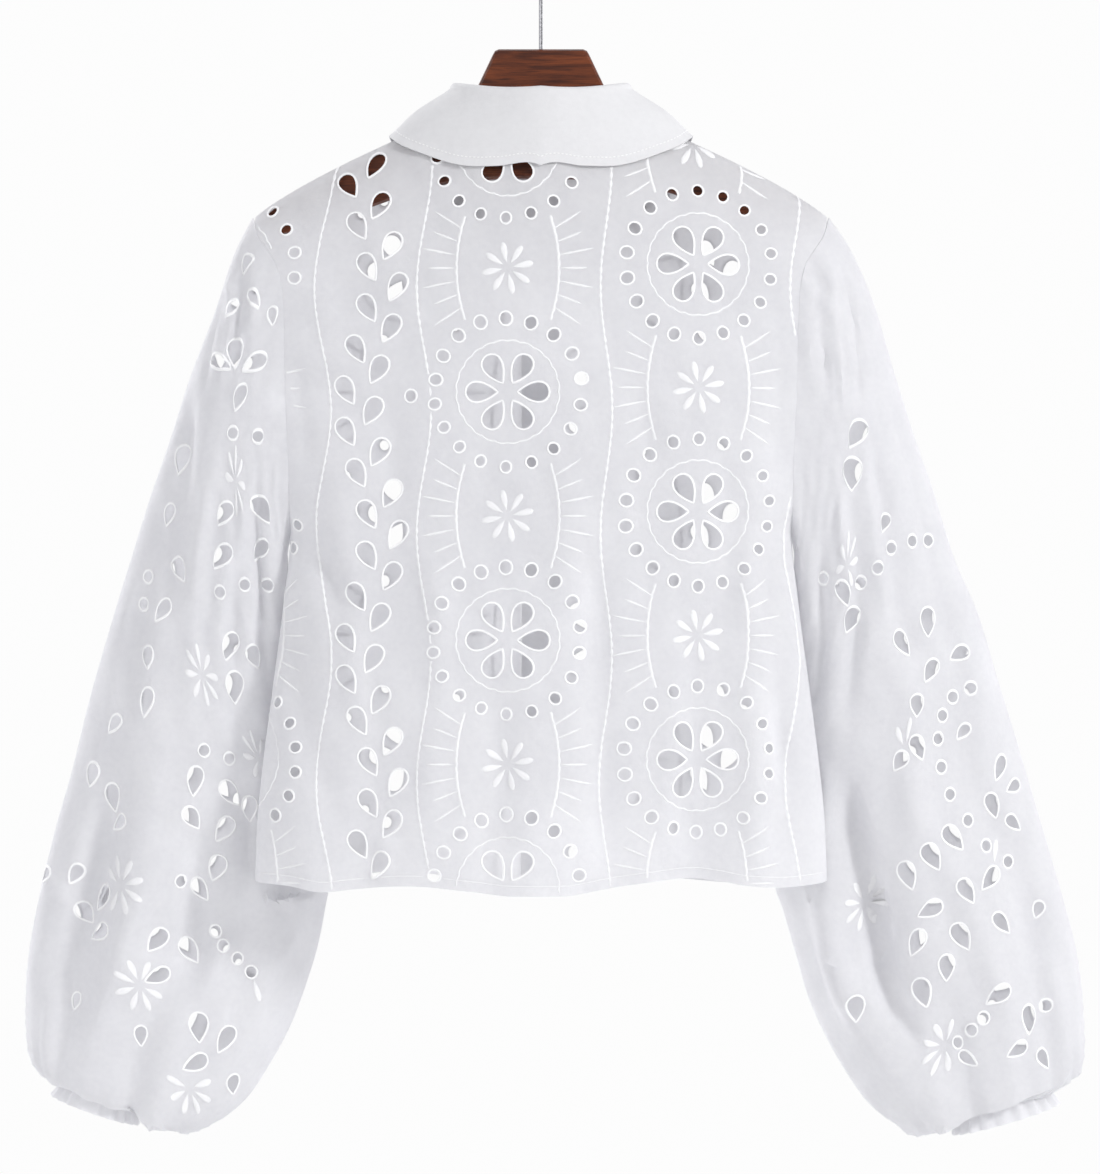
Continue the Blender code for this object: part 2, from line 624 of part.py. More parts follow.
def wall_mesh(outer, inner, faces):
    """Joins an outer sheet and an inner sheet with the same faces into one closed wall."""
    count = len(outer)
    faces = [tuple(int(i) for i in face) for face in faces]
    seen = {(face[i], face[(i + 1) % len(face)]) for face in faces for i in range(len(face))}
    closed = list(faces) + [tuple(i + count for i in reversed(face)) for face in faces]
    for a, b in seen:
        if (b, a) not in seen:
            closed.append((b, a, a + count, b + count))
    return np.concatenate([outer, inner]), closed


def grid_faces(rows, columns, wrapped):
    """Quads over a grid of points, row by row."""
    faces = []
    for i in range(rows - 1):
        for j in range(columns if wrapped else columns - 1):
            k = (j + 1) % columns
            faces.append((i * columns + j, (i + 1) * columns + j, (i + 1) * columns + k, i * columns + k))
    return faces


def grid_normals(points, wrapped):
    """Unit normals of a grid of points, from its rows and columns."""
    if wrapped:
        across = np.roll(points, -1, axis=1) - np.roll(points, 1, axis=1)
    else:
        across = np.gradient(points, axis=1)
    normals = np.cross(np.gradient(points, axis=0), across)
    return normals / np.maximum(np.linalg.norm(normals, axis=2, keepdims=True), 1e-9)


def grid_wall(points, thickness, wrapped):
    """A closed wall whose inner face is the grid of points."""
    rows, columns = points.shape[:2]
    normals = grid_normals(points, wrapped)
    outer = (points + thickness * normals).reshape(-1, 3)
    return wall_mesh(outer, points.reshape(-1, 3), grid_faces(rows, columns, wrapped))


def material(name, colour, roughness):
    made = bpy.data.materials.new(name)
    made.use_nodes = True
    shader = made.node_tree.nodes["Principled BSDF"]
    shader.inputs["Base Color"].default_value = (*colour, 1)
    shader.inputs["Roughness"].default_value = roughness
    return made


def add(name, vertices, faces, look, sharp=40):
    """Puts a mesh given in millimetres into the scene as an object."""
    mesh = bpy.data.meshes.new(name)
    mesh.from_pydata((np.asarray(vertices) * MM).tolist(), [], faces)
    mesh.validate()
    mesh.shade_smooth()
    mesh.set_sharp_from_angle(angle=math.radians(sharp))
    mesh.materials.append(look)
    made = bpy.data.objects.new(name, mesh)
    bpy.context.scene.collection.objects.link(made)
    return made


def spaced(start, end, spacing):
    """Evenly spaced values from start to end, without the end."""
    count = max(2, round(abs(end - start) / spacing))
    return np.linspace(start, end, count, endpoint=False)


def armhole_drops():
    """Where the points of the armhole seam lie, closer towards its two ends."""
    share = (1 + np.cos(np.linspace(0, math.pi, HEAD_POINTS))) / 2
    return ARMPIT_DROP - (ARMPIT_DROP - SHOULDER_TIP_DROP) * share


def side_run(cloth, x, hand, side, dip):
    """Down one side of a panel: along its own edge, or a straight cut at x."""
    if x is None:
        drops = np.concatenate([
            spaced(NECK_SIDE_DROP, SHOULDER_TIP_DROP, EDGE_SPACING / 2),
            armhole_drops()[:-1],
            spaced(ARMPIT_DROP, SIDE_DROP, EDGE_SPACING * 1.5),
            [SIDE_DROP],
        ])
        return [(cloth.span(drop)[hand], drop) for drop in drops]
    top, bottom = neck_drop(x, dip), hem_drop(side * x)
    drops = np.append(spaced(top, bottom, BODY_SPACING), bottom)
    return [(cloth.across(x, drop), drop) for drop in drops]


def panel_outline(cloth, side, low=None, high=None):
    """A body panel's outline on its chart, between x low and x high or out to its own edges."""
    dip = NECK_BACK_DIP if side > 0 else NECK_FRONT_DIP
    hem_from = HEM_CORNER if high is None else high
    hem_to = -HEM_CORNER if low is None else low
    neck_from = -NECK_HALF if low is None else low
    neck_to = NECK_HALF if high is None else high
    corners = side_run(cloth, high, 1, side, dip)
    for x in spaced(hem_from, hem_to, EDGE_SPACING)[1:]:
        corners.append((cloth.across(x, hem_drop(side * x)), hem_drop(side * x)))
    corners += side_run(cloth, low, 0, side, dip)[::-1]
    for x in spaced(neck_from, neck_to, NECK_SPACING)[1:]:
        corners.append((cloth.across(x, neck_drop(x, dip)), neck_drop(x, dip)))
    return np.array(corners)


def sleeve_outline(cloth):
    """A sleeve half's outline: closer points at the gathered head and cuff."""
    last = (len(cloth.points) - 1) * ROW_STEP - 0.01
    fine = GATHER_ROWS
    lengths = np.concatenate([
        spaced(0, fine, SEAM_SPACING), spaced(fine, last - fine, EDGE_SPACING),
        spaced(last - fine, last, SEAM_SPACING), [last],
    ])
    starts, ends = cloth.span(lengths)
    overarm = list(zip(starts, lengths))
    underarm = list(zip(ends, lengths))
    seam = np.interp(armhole_drops(), -cloth.points[0, :, 2], cloth.width[0] * cloth.fractions)
    head = [(a, 0.0) for a in seam[1:-1]]
    foot = [(a, last) for a in np.linspace(ends[-1], starts[-1], FOOT_POINTS)[1:-1]]
    return np.array(overarm[:1] + head + underarm + foot + overarm[:0:-1])


def ridge_points(cloth):
    """Chart points close under the shoulder line, where the cloth rounds the hanger."""
    points = []
    for x in np.arange(NECK_HALF, SHOULDER["out"][-1], RIDGE_PITCH):
        for under in RIDGE_DROPS:
            for hand in (-1, 1):
                drop = shoulder_drop(x) + under
                points.append((cloth.across(hand * x, drop), drop))
    return np.array(points)


def button_drops():
    return BUTTON_FIRST_DROP + BUTTON_PITCH * np.arange(BUTTON_COUNT)


def make_body(cotton):
    """The back, the two fronts and the two layers of the button band."""
    back = body_cloth(1, BODY_FOLDS)
    front = body_cloth(-1, mirrored(BODY_FOLDS))
    under = -WALL - SEAM
    pieces = (
        ("back", back, 1, None, None, 0.0, 0.0),
        ("front_left", front, -1, BAND_HALF + SEAM, None, 0.0, FRONT_SHIFT),
        ("front_right", front, -1, None, -BAND_HALF - SEAM, 0.0, FRONT_SHIFT),
        ("placket_outer", front, -1, -BAND_HALF, BAND_HALF, 0.0, None),
        ("placket_under", front, -1, -BAND_HALF, BAND_HALF, under, None),
    )
    for name, cloth, side, low, high, inner, shift in pieces:
        outline = panel_outline(cloth, side, low, high)
        holes = []
        if shift is not None:
            for x, drop, shape in body_motifs(shift, side):
                if abs(x) < BODY["edge"][-1] and BODY_TOP < drop < BODY_BOTTOM:
                    start, end = cloth.span(drop)
                    if start < x < end:
                        holes.append(cloth.draw(np.array([x, drop]), shape))
        holes = fitting(holes, outline)
        ridge = ridge_points(cloth)
        if cloth is front:
            seats = [(cloth.across(0.0, drop), drop) for drop in button_drops()]
            ridge = np.concatenate([ridge, seats])
        vertices, faces = cloth_mesh(cloth, outline, holes, BODY_SPACING, inner, inner + WALL, ridge)
        add(name, vertices, faces, cotton)
    return back, front


def make_sleeve(name, side, rows, folds, chart, cotton):
    """A sleeve in two halves, parted along the overarm and the underarm."""
    for half, half_name in ((1, "back"), (-1, "front")):
        cloth = sleeve_cloth(rows, side, half, folds)
        outline = sleeve_outline(cloth)
        holes = []
        for x, drop, lean, length, width in zip(*chart.values()):
            shift = 0 if half > 0 else FRONT_SHIFT
            centre, missed = cloth.find(side * (x + shift), drop)
            if missed < FIND_LIMIT and (half > 0 or length >= FRONT_SMALLEST):
                holes.append(cloth.draw(centre, teardrop(length, width, lean)))
        holes = fitting(holes, outline)
        vertices, faces = cloth_mesh(cloth, outline, holes, SLEEVE_SPACING, 0.0, WALL)
        add(f"{name}_{half_name}", vertices, faces, cotton)


def make_cuff(name, side, rows, cotton):
    """The gathered band inside the end of a sleeve, with its ruffled edge."""
    turns = np.linspace(0, 2 * math.pi, CUFF_GATHERS * CUFF_SIDES, endpoint=False)
    over = np.array([rows["over_x"][-1], rows["over_y"][-1], -rows["over_drop"][-1]])
    under = np.array([rows["under_x"][-1], rows["under_y"][-1], -rows["under_drop"][-1]])
    reach = (over - under) / 2
    level = reach / np.linalg.norm(reach)
    out = np.array([0.0, 1.0, 0.0]) - level * level[1]
    out /= np.linalg.norm(out)
    down = np.cross(out, level)
    down *= -np.sign(down[2])
    share = np.where(turns < math.pi, turns, turns - 2 * math.pi) / math.pi
    ripple = wave(share / 2, CUFF_GATHERS, 0.0)
    radial = np.outer(np.cos(turns), level) + np.outer(np.sin(turns), out)
    ring = (over + under) / 2 + np.outer(np.cos(turns), reach)
    ring = ring + np.outer(np.sin(turns), out) * rows["depth"][-1]
    grid = []
    for t in np.linspace(0, 1, CUFF_ROWS):
        height = CUFF_GATHER_HEIGHT + (CUFF_RUFFLE - CUFF_GATHER_HEIGHT) * ease(t)
        flare = CUFF_FLARE * ease((t - CUFF_STRAIGHT) / (1 - CUFF_STRAIGHT)) - CUFF_INSET - WALL
        along = -CUFF_TUCK + (CUFF_LENGTH + CUFF_TUCK) * t
        grid.append(ring + radial * (height * ripple + flare)[:, None] + down * along)
    grid = np.array(grid)[:, ::-1]
    grid[:, :, 0] *= side
    if side < 0:
        grid = grid[:, ::-1]
    vertices, faces = grid_wall(grid, WALL, True)
    add(name, vertices, faces, cotton)


def neck_ring(turns):
    """The neckline, and the way out from it, for turns in degrees from the middle of the back."""
    angle = np.radians(turns)
    back = np.abs(turns) < 90
    x = NECK_HALF * np.sin(angle)
    drop = neck_drop(x, np.where(back, NECK_BACK_DIP, NECK_FRONT_DIP))
    y = np.where(back, 1, -1) * body_depth(x, drop, NO_FOLDS)
    ring = np.stack([x, y, -drop], axis=1)
    along = np.gradient(ring[:, :2], axis=0)
    out = np.stack([-along[:, 1], along[:, 0], np.zeros(len(x))], axis=1)
    out *= np.sign((out * ring).sum(axis=1))[:, None]
    return ring, out / np.linalg.norm(out, axis=1, keepdims=True)


def stand_edges(turns):
    """The foot and the top of the collar stand's outer face, and the way out from it."""
    ring, out = neck_ring(turns)
    lift = STAND_LIFT * ease((STAND_LAP_TURN - turns) / STAND_LAP_EASE) - STAND_INSET
    foot = ring + out * lift[:, None]
    foot[:, 2] += STAND_INSET
    top = ring + out * (lift - STAND_TAPER)[:, None]
    top[:, 2] += smooth(np.abs(turns), STAND["turn"], STAND["height"])
    return foot, top, out


def make_collar(back, front, cotton):
    """The stand, a strip lapped at the front, and the leaf folded down over it."""
    turns = np.linspace(180 + STAND_OVERLAP, -180 - STAND_OVERLAP, STAND_POINTS)
    foot, top, out = stand_edges(turns)
    rows = [top + (foot - top) * t - out * COLLAR_WALL for t in np.linspace(0, 1, STAND_ROWS)]
    vertices, faces = grid_wall(np.array(rows), COLLAR_WALL, False)
    add("collar_stand", vertices, faces, cotton)

    turns = np.linspace(LEAF_END, -LEAF_END, LEAF_POINTS)
    _, top, out = stand_edges(turns)
    edge = []
    for turn in turns:
        x = math.copysign(smooth(np.array([abs(turn)]), LEAF["turn"], LEAF["x"])[0], turn)
        under = smooth(np.array([abs(turn)]), LEAF["turn"], LEAF["under"])[0]
        drop = shoulder_drop(np.array([x]))[0] + max(under, LEAF_UNDER_LEAST)
        cloth = back if abs(turn) < 90 else front
        flat = np.array([[cloth.across(x, drop), drop]])
        lift = LEAF_LIE + LEAF_LIFT * math.exp(-((abs(turn) - 90) / LEAF_LIFT_TURNS) ** 2)
        edge.append(cloth.place(flat, WALL + SEAM + lift)[0])
    edge = np.array(edge)
    up = np.array([0.0, 0.0, 1.0])
    crest = [top + out * aside + up * rise for aside, rise in zip(*LEAF_CREST.values())]
    start = crest.pop()
    rows = crest + [start + (edge - start) * t for t in np.linspace(0, 1, LEAF_ROWS)]
    vertices, faces = grid_wall(np.array(rows), COLLAR_WALL, False)
    add("collar_leaf", vertices, faces, cotton)


def make_button(name, centre, normal, look):
    """A shallow dished button that faces along normal."""
    turns = np.linspace(0, 2 * math.pi, BUTTON_SIDES, endpoint=False)
    level = np.cross(normal, (0.0, 0.0, 1.0))
    level /= np.linalg.norm(level)
    other = np.cross(normal, level)
    vertices = []
    for radius, rise in zip(*BUTTON_PROFILE.values()):
        spoke = radius * BUTTON_RADIUS * (np.outer(np.cos(turns), level) + np.outer(np.sin(turns), other))
        vertices.append(centre + spoke + normal * rise * BUTTON_THICKNESS)
    rings = len(vertices)
    faces = []
    for k in range(rings - 1):
        for j in range(BUTTON_SIDES):
            n = (j + 1) % BUTTON_SIDES
            row, above = k * BUTTON_SIDES, (k + 1) * BUTTON_SIDES
            faces.append((row + j, row + n, above + n, above + j))
    faces.append(tuple(range(BUTTON_SIDES))[::-1])
    faces.append(tuple(range((rings - 1) * BUTTON_SIDES, rings * BUTTON_SIDES)))
    add(name, np.concatenate(vertices), faces, look)


def make_buttons(front, look):
    """Buttons down the band, and one that holds the lapped collar stand."""
    for k, drop in enumerate(button_drops()):
        flat = np.array([[front.across(0.0, drop), drop]])
        centre = front.place(flat, WALL + SEAM)[0]
        normal = centre - front.place(flat, 0)[0]
        make_button(f"button_{k + 1}", centre, normal / np.linalg.norm(normal), look)
    ring, out = neck_ring(np.array([-179.0, -180.0, -181.0]))
    centre = ring[1] + out[1] * (STAND_LIFT - STAND_INSET + SEAM)
    centre[2] += STAND["height"][-1] / 2
    make_button("button_collar", centre, out[1], look)


def make_hanger(look):
    """The wooden hanger: rounded sections from one end to the other."""
    half_outline = list(zip(*HANGER.values()))
    stations = [(-out, *section) for out, *section in half_outline[:0:-1]] + half_outline
    vertices = []
    corners = [(1, 1), (-1, 1), (-1, -1), (1, -1)]
    for x, top, bottom, half in stations:
        radius = min(HANGER_CORNER, HANGER_CORNER_SHARE * half)
        for corner, (y_sign, z_sign) in enumerate(corners):
            for step in range(HANGER_CORNER_SIDES):
                angle = math.pi / 2 * (corner + step / (HANGER_CORNER_SIDES - 1))
                y = y_sign * (half - radius) + radius * math.cos(angle)
                edge = -top - radius if z_sign > 0 else -bottom + radius
                vertices.append((x, y, edge + radius * math.sin(angle)))
    around = 4 * HANGER_CORNER_SIDES
    faces = []
    for k in range(len(stations) - 1):
        for j in range(around):
            n = (j + 1) % around
            faces.append((k * around + j, k * around + n, (k + 1) * around + n, (k + 1) * around + j))
    faces.append(tuple(range(around))[::-1])
    faces.append(tuple(range((len(stations) - 1) * around, len(stations) * around)))
    add("hanger", vertices, faces, look)


def make_hook(look):
    """The wire hook: a straight stem, a turn to the side, then most of a circle."""
    radius = HOOK_INNER_RADIUS + WIRE_RADIUS
    middle = WIRE_RADIUS - radius
    arc = []
    for angle in np.linspace(HOOK_START, HOOK_END, HOOK_STEPS):
        a = math.radians(angle)
        arc.append((radius * math.cos(a), middle + radius * math.sin(a)))
    foot = -HANGER["top"][0] + SEAM
    stem_top = -HOOK_STEM_TOP
    bend = []
    a = math.radians(HOOK_START)
    start, end = np.array([0.0, stem_top]), np.array(arc[0])
    leave, arrive = np.array([0.0, 1.0]), np.array([-math.sin(a), math.cos(a)])
    size = np.linalg.norm(end - start)
    for t in np.linspace(0, 1, HOOK_BEND_STEPS, endpoint=False):
        h = (2 * t ** 3 - 3 * t * t + 1, t ** 3 - 2 * t * t + t, -2 * t ** 3 + 3 * t * t, t ** 3 - t * t)
        bend.append(h[0] * start + h[1] * size * leave + h[2] * end + h[3] * size * arrive)
    path = [(0.0, foot), (0.0, (foot + stem_top) / 2)] + bend + arc
    curve = bpy.data.curves.new("hook", "CURVE")
    curve.dimensions = "3D"
    curve.bevel_depth = WIRE_RADIUS * MM
    curve.bevel_resolution = 2
    curve.use_fill_caps = True
    spline = curve.splines.new("POLY")
    spline.points.add(len(path) - 1)
    for point, (x, z) in zip(spline.points, path):
        point.co = (x * MM, 0, z * MM, 1)
    curve.materials.append(look)
    hook = bpy.data.objects.new("hanger_hook", curve)
    bpy.context.scene.collection.objects.link(hook)


def main():
    for old in list(bpy.data.objects):
        bpy.data.objects.remove(old)
    cotton = material("white cotton", (0.86, 0.87, 0.88), 0.85)
    shell = material("shell button", (0.9, 0.9, 0.88), 0.3)
    wood = material("brown wood", (0.16, 0.05, 0.02), 0.4)
    steel = material("steel wire", (0.6, 0.6, 0.6), 0.25)
    steel.node_tree.nodes["Principled BSDF"].inputs["Metallic"].default_value = 1
    back, front = make_body(cotton)
    sleeves = (
        ("left", 1, SLEEVE_LEFT, SLEEVE_FOLDS_LEFT, SLEEVE_HOLES_LEFT),
        ("right", -1, SLEEVE_RIGHT, SLEEVE_FOLDS_RIGHT, SLEEVE_HOLES_RIGHT),
    )
    for name, side, rows, folds, chart in sleeves:
        make_sleeve(f"sleeve_{name}", side, rows, folds, chart, cotton)
        make_cuff(f"cuff_{name}", side, rows, cotton)
    make_collar(back, front, cotton)
    make_buttons(front, shell)
    make_hanger(wood)
    make_hook(steel)


main()
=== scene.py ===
"""The looks of a white eyelet-lace blouse on a wooden hanger.

Sizes are in millimetres. x runs across, positive to the wearer's left, y runs to
the back of the garment, and drop is the distance below the point where the hook
rests. MM turns them into metres when a mesh is made. The cloth's form repeats the
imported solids' form from the same sizes, with finer folds, smaller eyelets and stitches.
Two things differ: the sleeve's underarm lies up to 5 mm further in between drops 452
and 505, which closes a slit beside the body, and the gathers are up to 1 mm higher.
"""

import math

import bpy
import numpy as np
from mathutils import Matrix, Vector
from mathutils.geometry import delaunay_2d_cdt

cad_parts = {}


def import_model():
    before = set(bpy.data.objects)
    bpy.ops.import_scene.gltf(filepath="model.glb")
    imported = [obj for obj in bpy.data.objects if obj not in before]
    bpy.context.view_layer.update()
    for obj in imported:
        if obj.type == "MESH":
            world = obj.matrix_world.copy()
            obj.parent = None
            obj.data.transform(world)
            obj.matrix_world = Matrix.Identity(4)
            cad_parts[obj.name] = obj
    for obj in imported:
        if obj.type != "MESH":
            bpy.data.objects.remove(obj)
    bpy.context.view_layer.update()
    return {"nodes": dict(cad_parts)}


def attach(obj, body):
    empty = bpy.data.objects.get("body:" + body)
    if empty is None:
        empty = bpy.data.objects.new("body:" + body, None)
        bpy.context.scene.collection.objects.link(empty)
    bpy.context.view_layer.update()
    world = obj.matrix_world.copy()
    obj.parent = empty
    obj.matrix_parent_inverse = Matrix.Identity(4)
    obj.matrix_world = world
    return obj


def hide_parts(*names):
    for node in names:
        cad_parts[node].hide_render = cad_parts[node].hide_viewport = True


MM = 0.001

# Cloth: the shell's faces, out from the sheet, and how close the pieces come at their seams
WALL = 0.9
INNER = 0.1
COLLAR_WALL = 1.4
SEAM = 0.1
ARMHOLE_SEAM = 0.2
SLEEVE_SEAM = 0.1
LAP = 4.6


def table(names, *rows):
    """A table with named columns."""
    return {name: np.array(column, float) for name, column in zip(names.split(), zip(*rows))}


BODY_DEPTH = 46.0
BODY_SQUARENESS = 2.5
SHOULDER_ROLL = 80.0
SHOULDER_TIP_DROP = 216.0
ARMPIT_DROP = 437.5
SIDE_DROP = 679.5
BODY_TOP = 143.0
BODY_BOTTOM = 692.0
SHOULDER = table(
    "out drop",
    (-30, 125.5), (0, 110), (30, 125.5), (62, 144), (102, 162), (140, 180),
    (170, 196), (190, 208.5), (200, 216), (206, 222),
)
BODY = table(
    "drop edge reach",
    (216, 200, 240), (228, 197, 240), (238, 191, 236), (251, 183, 225),
    (273, 179, 212), (343, 177, 199), (413, 174.5, 184), (437.5, 174.5, 174.6),
    (483, 179, 179), (553, 188, 188), (609, 195, 195), (644, 198, 198), (692, 199.5, 199.5),
)
HEM = table(
    "x drop",
    (-200, 679.5), (-167, 682), (-143, 680.5), (-123, 677), (-104, 675), (-78, 677.5),
    (-52, 681), (-13, 687), (19, 687), (48, 684), (90, 680.5), (130, 683),
    (151, 685), (175, 681), (200, 679.5),
)
BODY_FOLDS = table(
    "x spread height start",
    (160, 14, 5, 420), (118, 17, -6, 330), (55, 18, 3, 450), (6, 26, 6, 380),
    (-52, 18, -3, 300), (-104, 24, -8, 330), (-152, 16, 6, 420),
)
NO_FOLDS = table("x spread height start", (0, 1, 0, 0))
NECK_HALF = 62.0
NECK_SIDE_DROP = 144.0
NECK_BACK_DIP = 13.0
NECK_FRONT_DIP = 42.0
STAND = table("turn height", (0, 28), (90, 20), (180, 27))
STAND_INSET = 0.7
STAND_TAPER = 1.0
STAND_LIFT = 2.4
STAND_LAP_TURN = -140.0
STAND_LAP_EASE = 36.0
STAND_OVERLAP = 9.0
STAND_STEPS = 121
STAND_ROWS = 10
LEAF_END = 167.0
LEAF_ROLL = 2.4
LEAF_CREST = table("out up", (-1.2, 0.5), (0.3, 1.3), (1.6, 0.3), (LEAF_ROLL, -2.2))
LEAF_LIE = 0.9
LEAF_LIFT = 1.6
LEAF_LIFT_TURNS = 14.0
LEAF_UNDER_LEAST = 0.02
LEAF_OUT = 1.5
LEAF_BELLY = 2.6
LEAF_BELLY_RISE = 0.35
LEAF_STEPS = 161
LEAF_ROWS = 24
CREST_ROWS = 10
LEAF = table(
    "turn x under",
    (0, 0, 73), (35, 45, 49), (60, 78, 24), (80, 100, 5), (90, 104, 0),
    (105, 101, 8), (130, 86, 38), (150, 69, 68), (167, 50, 86),
)
BAND_HALF = 14.0
BAND_GAP = 0.3
BUTTON_RADIUS = 5.5
BUTTON_THICKNESS = 2.4
BUTTON_SIDES = 40
BUTTON_DISH = 0.66
BUTTON_PROFILE = (
    (0.2, 0), (0.94, 0), (1, 0.2), (1, 0.62), (0.96, 0.88), (0.88, 1), (0.78, 1), (0.68, 0.88),
    (0.6, 0.72), (0.3, BUTTON_DISH), (0.02, BUTTON_DISH),
)
BUTTON_GAP = 0.4
COLLAR_BUTTON_GAP = 0.3
BUTTON_COUNT = 6
BUTTON_FIRST_DROP = 214.0
BUTTON_PITCH = 84.0
SLEEVE_LEFT = table(
    "over_x over_drop over_y under_x under_drop under_y depth",
    (200.6, 216.6, 0, 176, 438.2, 0, 23), (213.5, 242, -1, 178.5, 452, -3, 26),
    (228, 283, -4, 178.5, 475, -10, 31), (245, 326, -9, 177.5, 505, -23, 36),
    (260, 371, -14, 179, 540, -37, 40), (275, 413, -19, 173, 575, -48, 42),
    (288, 453, -24, 166, 612, -56, 44), (304.5, 505, -30, 158, 650, -61, 45),
    (319, 554, -35, 152, 683, -63, 46), (332, 605, -39, 155, 702, -64, 46),
    (344, 646, -42, 160, 728, -64, 46), (354, 687, -44, 168, 755, -62, 46),
    (360.5, 718, -45, 180, 787, -60, 45), (364.7, 750, -46, 194, 813, -57, 43),
    (365.4, 776, -46, 211, 838, -54, 40), (364, 799, -46, 232, 854, -51, 36),
    (358, 816, -46, 256, 862, -49, 31), (343, 823, -46, 283, 844, -47, 24),
)
SLEEVE_RIGHT = table(
    "over_x over_drop over_y under_x under_drop under_y depth",
    (200.6, 216.6, 0, 176, 438.2, 0, 23), (215, 238, -1, 178.5, 452, -3, 26),
    (231, 272, -4, 178.5, 475, -10, 31), (246, 320, -9, 178, 505, -23, 36),
    (261, 366, -14, 181, 540, -37, 40), (276, 408, -19, 177, 575, -48, 42),
    (290, 452, -24, 172, 612, -56, 44), (308, 493, -30, 168, 650, -61, 45),
    (323, 541, -35, 167.5, 683, -63, 46), (337, 585, -39, 174, 705, -64, 46),
    (350, 628, -42, 183, 736, -64, 46), (362, 668, -44, 192, 767, -62, 46),
    (372, 703, -45, 204, 794, -60, 45), (380, 736, -46, 220, 822, -57, 43),
    (384, 770, -46, 235, 842, -54, 40), (385, 800, -46, 252, 855, -51, 36),
    (381, 822, -46, 270, 864, -49, 31), (364, 829, -46, 290, 851, -47, 24),
)
ARMHOLE_BLEND = 70.0
SLEEVE_FOLDS_LEFT = table(
    "across spread height start end",
    (0.30, 0.06, 3, 90, 420), (-0.34, 0.07, -4, 60, 440), (0.55, 0.06, -4, 200, 500),
    (0.74, 0.05, 4, 260, 520), (-0.62, 0.06, 4, 150, 470), (0.12, 0.05, -3, 250, 520),
)
SLEEVE_FOLDS_RIGHT = table(
    "across spread height start end",
    (0.62, 0.05, -8, 240, 530), (0.74, 0.05, 7, 200, 540), (0.30, 0.06, -3, 120, 420),
    (-0.30, 0.07, 4, 70, 430), (-0.58, 0.06, -4, 180, 480), (0.16, 0.05, 3, 260, 520),
)
FOLD_RISE = 0.45
FOLD_FALL = 0.3
GATHER_EVEN = 0.72
GATHER_UNEVEN = 0.28
GATHER_DRIFT = 0.5
HEAD_GATHERS = 12
HEAD_PHASE = 0.6
HEAD_GATHER_HEIGHT = 2.0
HEAD_GATHER_LENGTH = 60.0
HEAD_GATHER_START = 14.0
HEAD_GATHER_SPREAD = 0.42
HEAD_GATHER_FADE = 0.2
CUFF_GATHERS = 20
CUFF_GATHER_HEIGHT = 2.3
CUFF_GATHER_LENGTH = 46.0
CUFF_LENGTH = 12.5
CUFF_TUCK = 1.0
CUFF_INSET = 1.4
CUFF_FLARE = 2.6
CUFF_RUFFLE = 2.0
CUFF_STRAIGHT = 0.45
CUFF_ROWS = 12
CUFF_PINCH = 0.9
CUFF_PINCH_AT = 0.3
CUFF_PINCH_SPREAD = 0.12
PRESS_SLOPE = 3.2
PRESS_SOFTNESS = 4.0
PRESS_START = 8.0
PRESS_BESIDE = 12.0
REPEAT_ACROSS = 332.0
REPEAT_DOWN = 171.3
COLUMNS = table("x drop", (23.0, 168.0), (-109.0, 250.5))
MEDALLION_ROWS = range(-1, 5)
VINE_ROWS = range(-2, 38)
PETALS = 6
PETAL_LENGTH = 21.0
PETAL_WIDTH = 13.0
PETAL_CENTRE = 18.0
VINE_X = 118.0
VINE_SWAY = 8.5
VINE_DROP = 181.0
VINE_BEND_DROP = 266.0
VINE_PITCH = REPEAT_DOWN / 12
VINE_HALF = 9.5
PATTERN_REACH = 240.0
LEAF_LENGTH = 20.0
LEAF_WIDTH = 11.5
LEAF_LEAN = 28.0
EDGE_MARGIN = 3.0
HOLE_SWELL = 1.5
SLEEVE_HOLES_LEFT = table(
    "x drop lean length width",
    (206, 249, 20, 14, 7), (199, 274, -30, 14, 7), (215, 280, 40, 12, 6), (186, 285, 0, 12, 6),
    (212, 311, 0, 20, 10), (199, 318, 60, 18, 10), (222, 318, -60, 18, 9), (209, 342, 20, 18, 8),
    (253, 384, 15, 20, 12), (262, 423, 20, 15, 8), (220, 423, 30, 17, 10), (194, 420, -30, 20, 11),
    (222, 453, 35, 19, 11), (195, 448, 30, 16, 9), (253, 461, -30, 18, 11), (266, 490, 35, 17, 10),
    (275, 523, 0, 15, 9), (276, 554, 10, 20, 9), (300, 571, 40, 14, 8),
    (217, 516, 20, 19, 11), (201, 523, -20, 17, 10), (214, 545, 0, 22, 12), (226, 528, 60, 15, 9),
    (242, 609, 10, 20, 10), (218, 618, -35, 20, 11), (245, 636, -30, 17, 10), (222, 644, 35, 19, 11),
    (204, 630, 0, 18, 10), (316, 606, 20, 16, 10), (304, 622, 0, 19, 11), (300, 640, 60, 16, 9),
    (311, 692, 30, 19, 11), (325, 704, -40, 17, 10), (311, 717, 60, 17, 10),
    (228, 671, 20, 18, 11), (238, 687, -30, 17, 9), (234, 702, 0, 15, 9),
    (269, 722, 40, 18, 11), (246, 730, -30, 19, 11), (269, 748, 70, 18, 10),
    (241, 783, 0, 20, 12), (223, 793, 30, 20, 11), (244, 808, 70, 18, 11), (218, 825, 0, 15, 9),
    (349, 678, 60, 14, 8), (330, 675, 30, 14, 8), (330, 765, 20, 12, 7), (282, 790, 0, 14, 8),
)
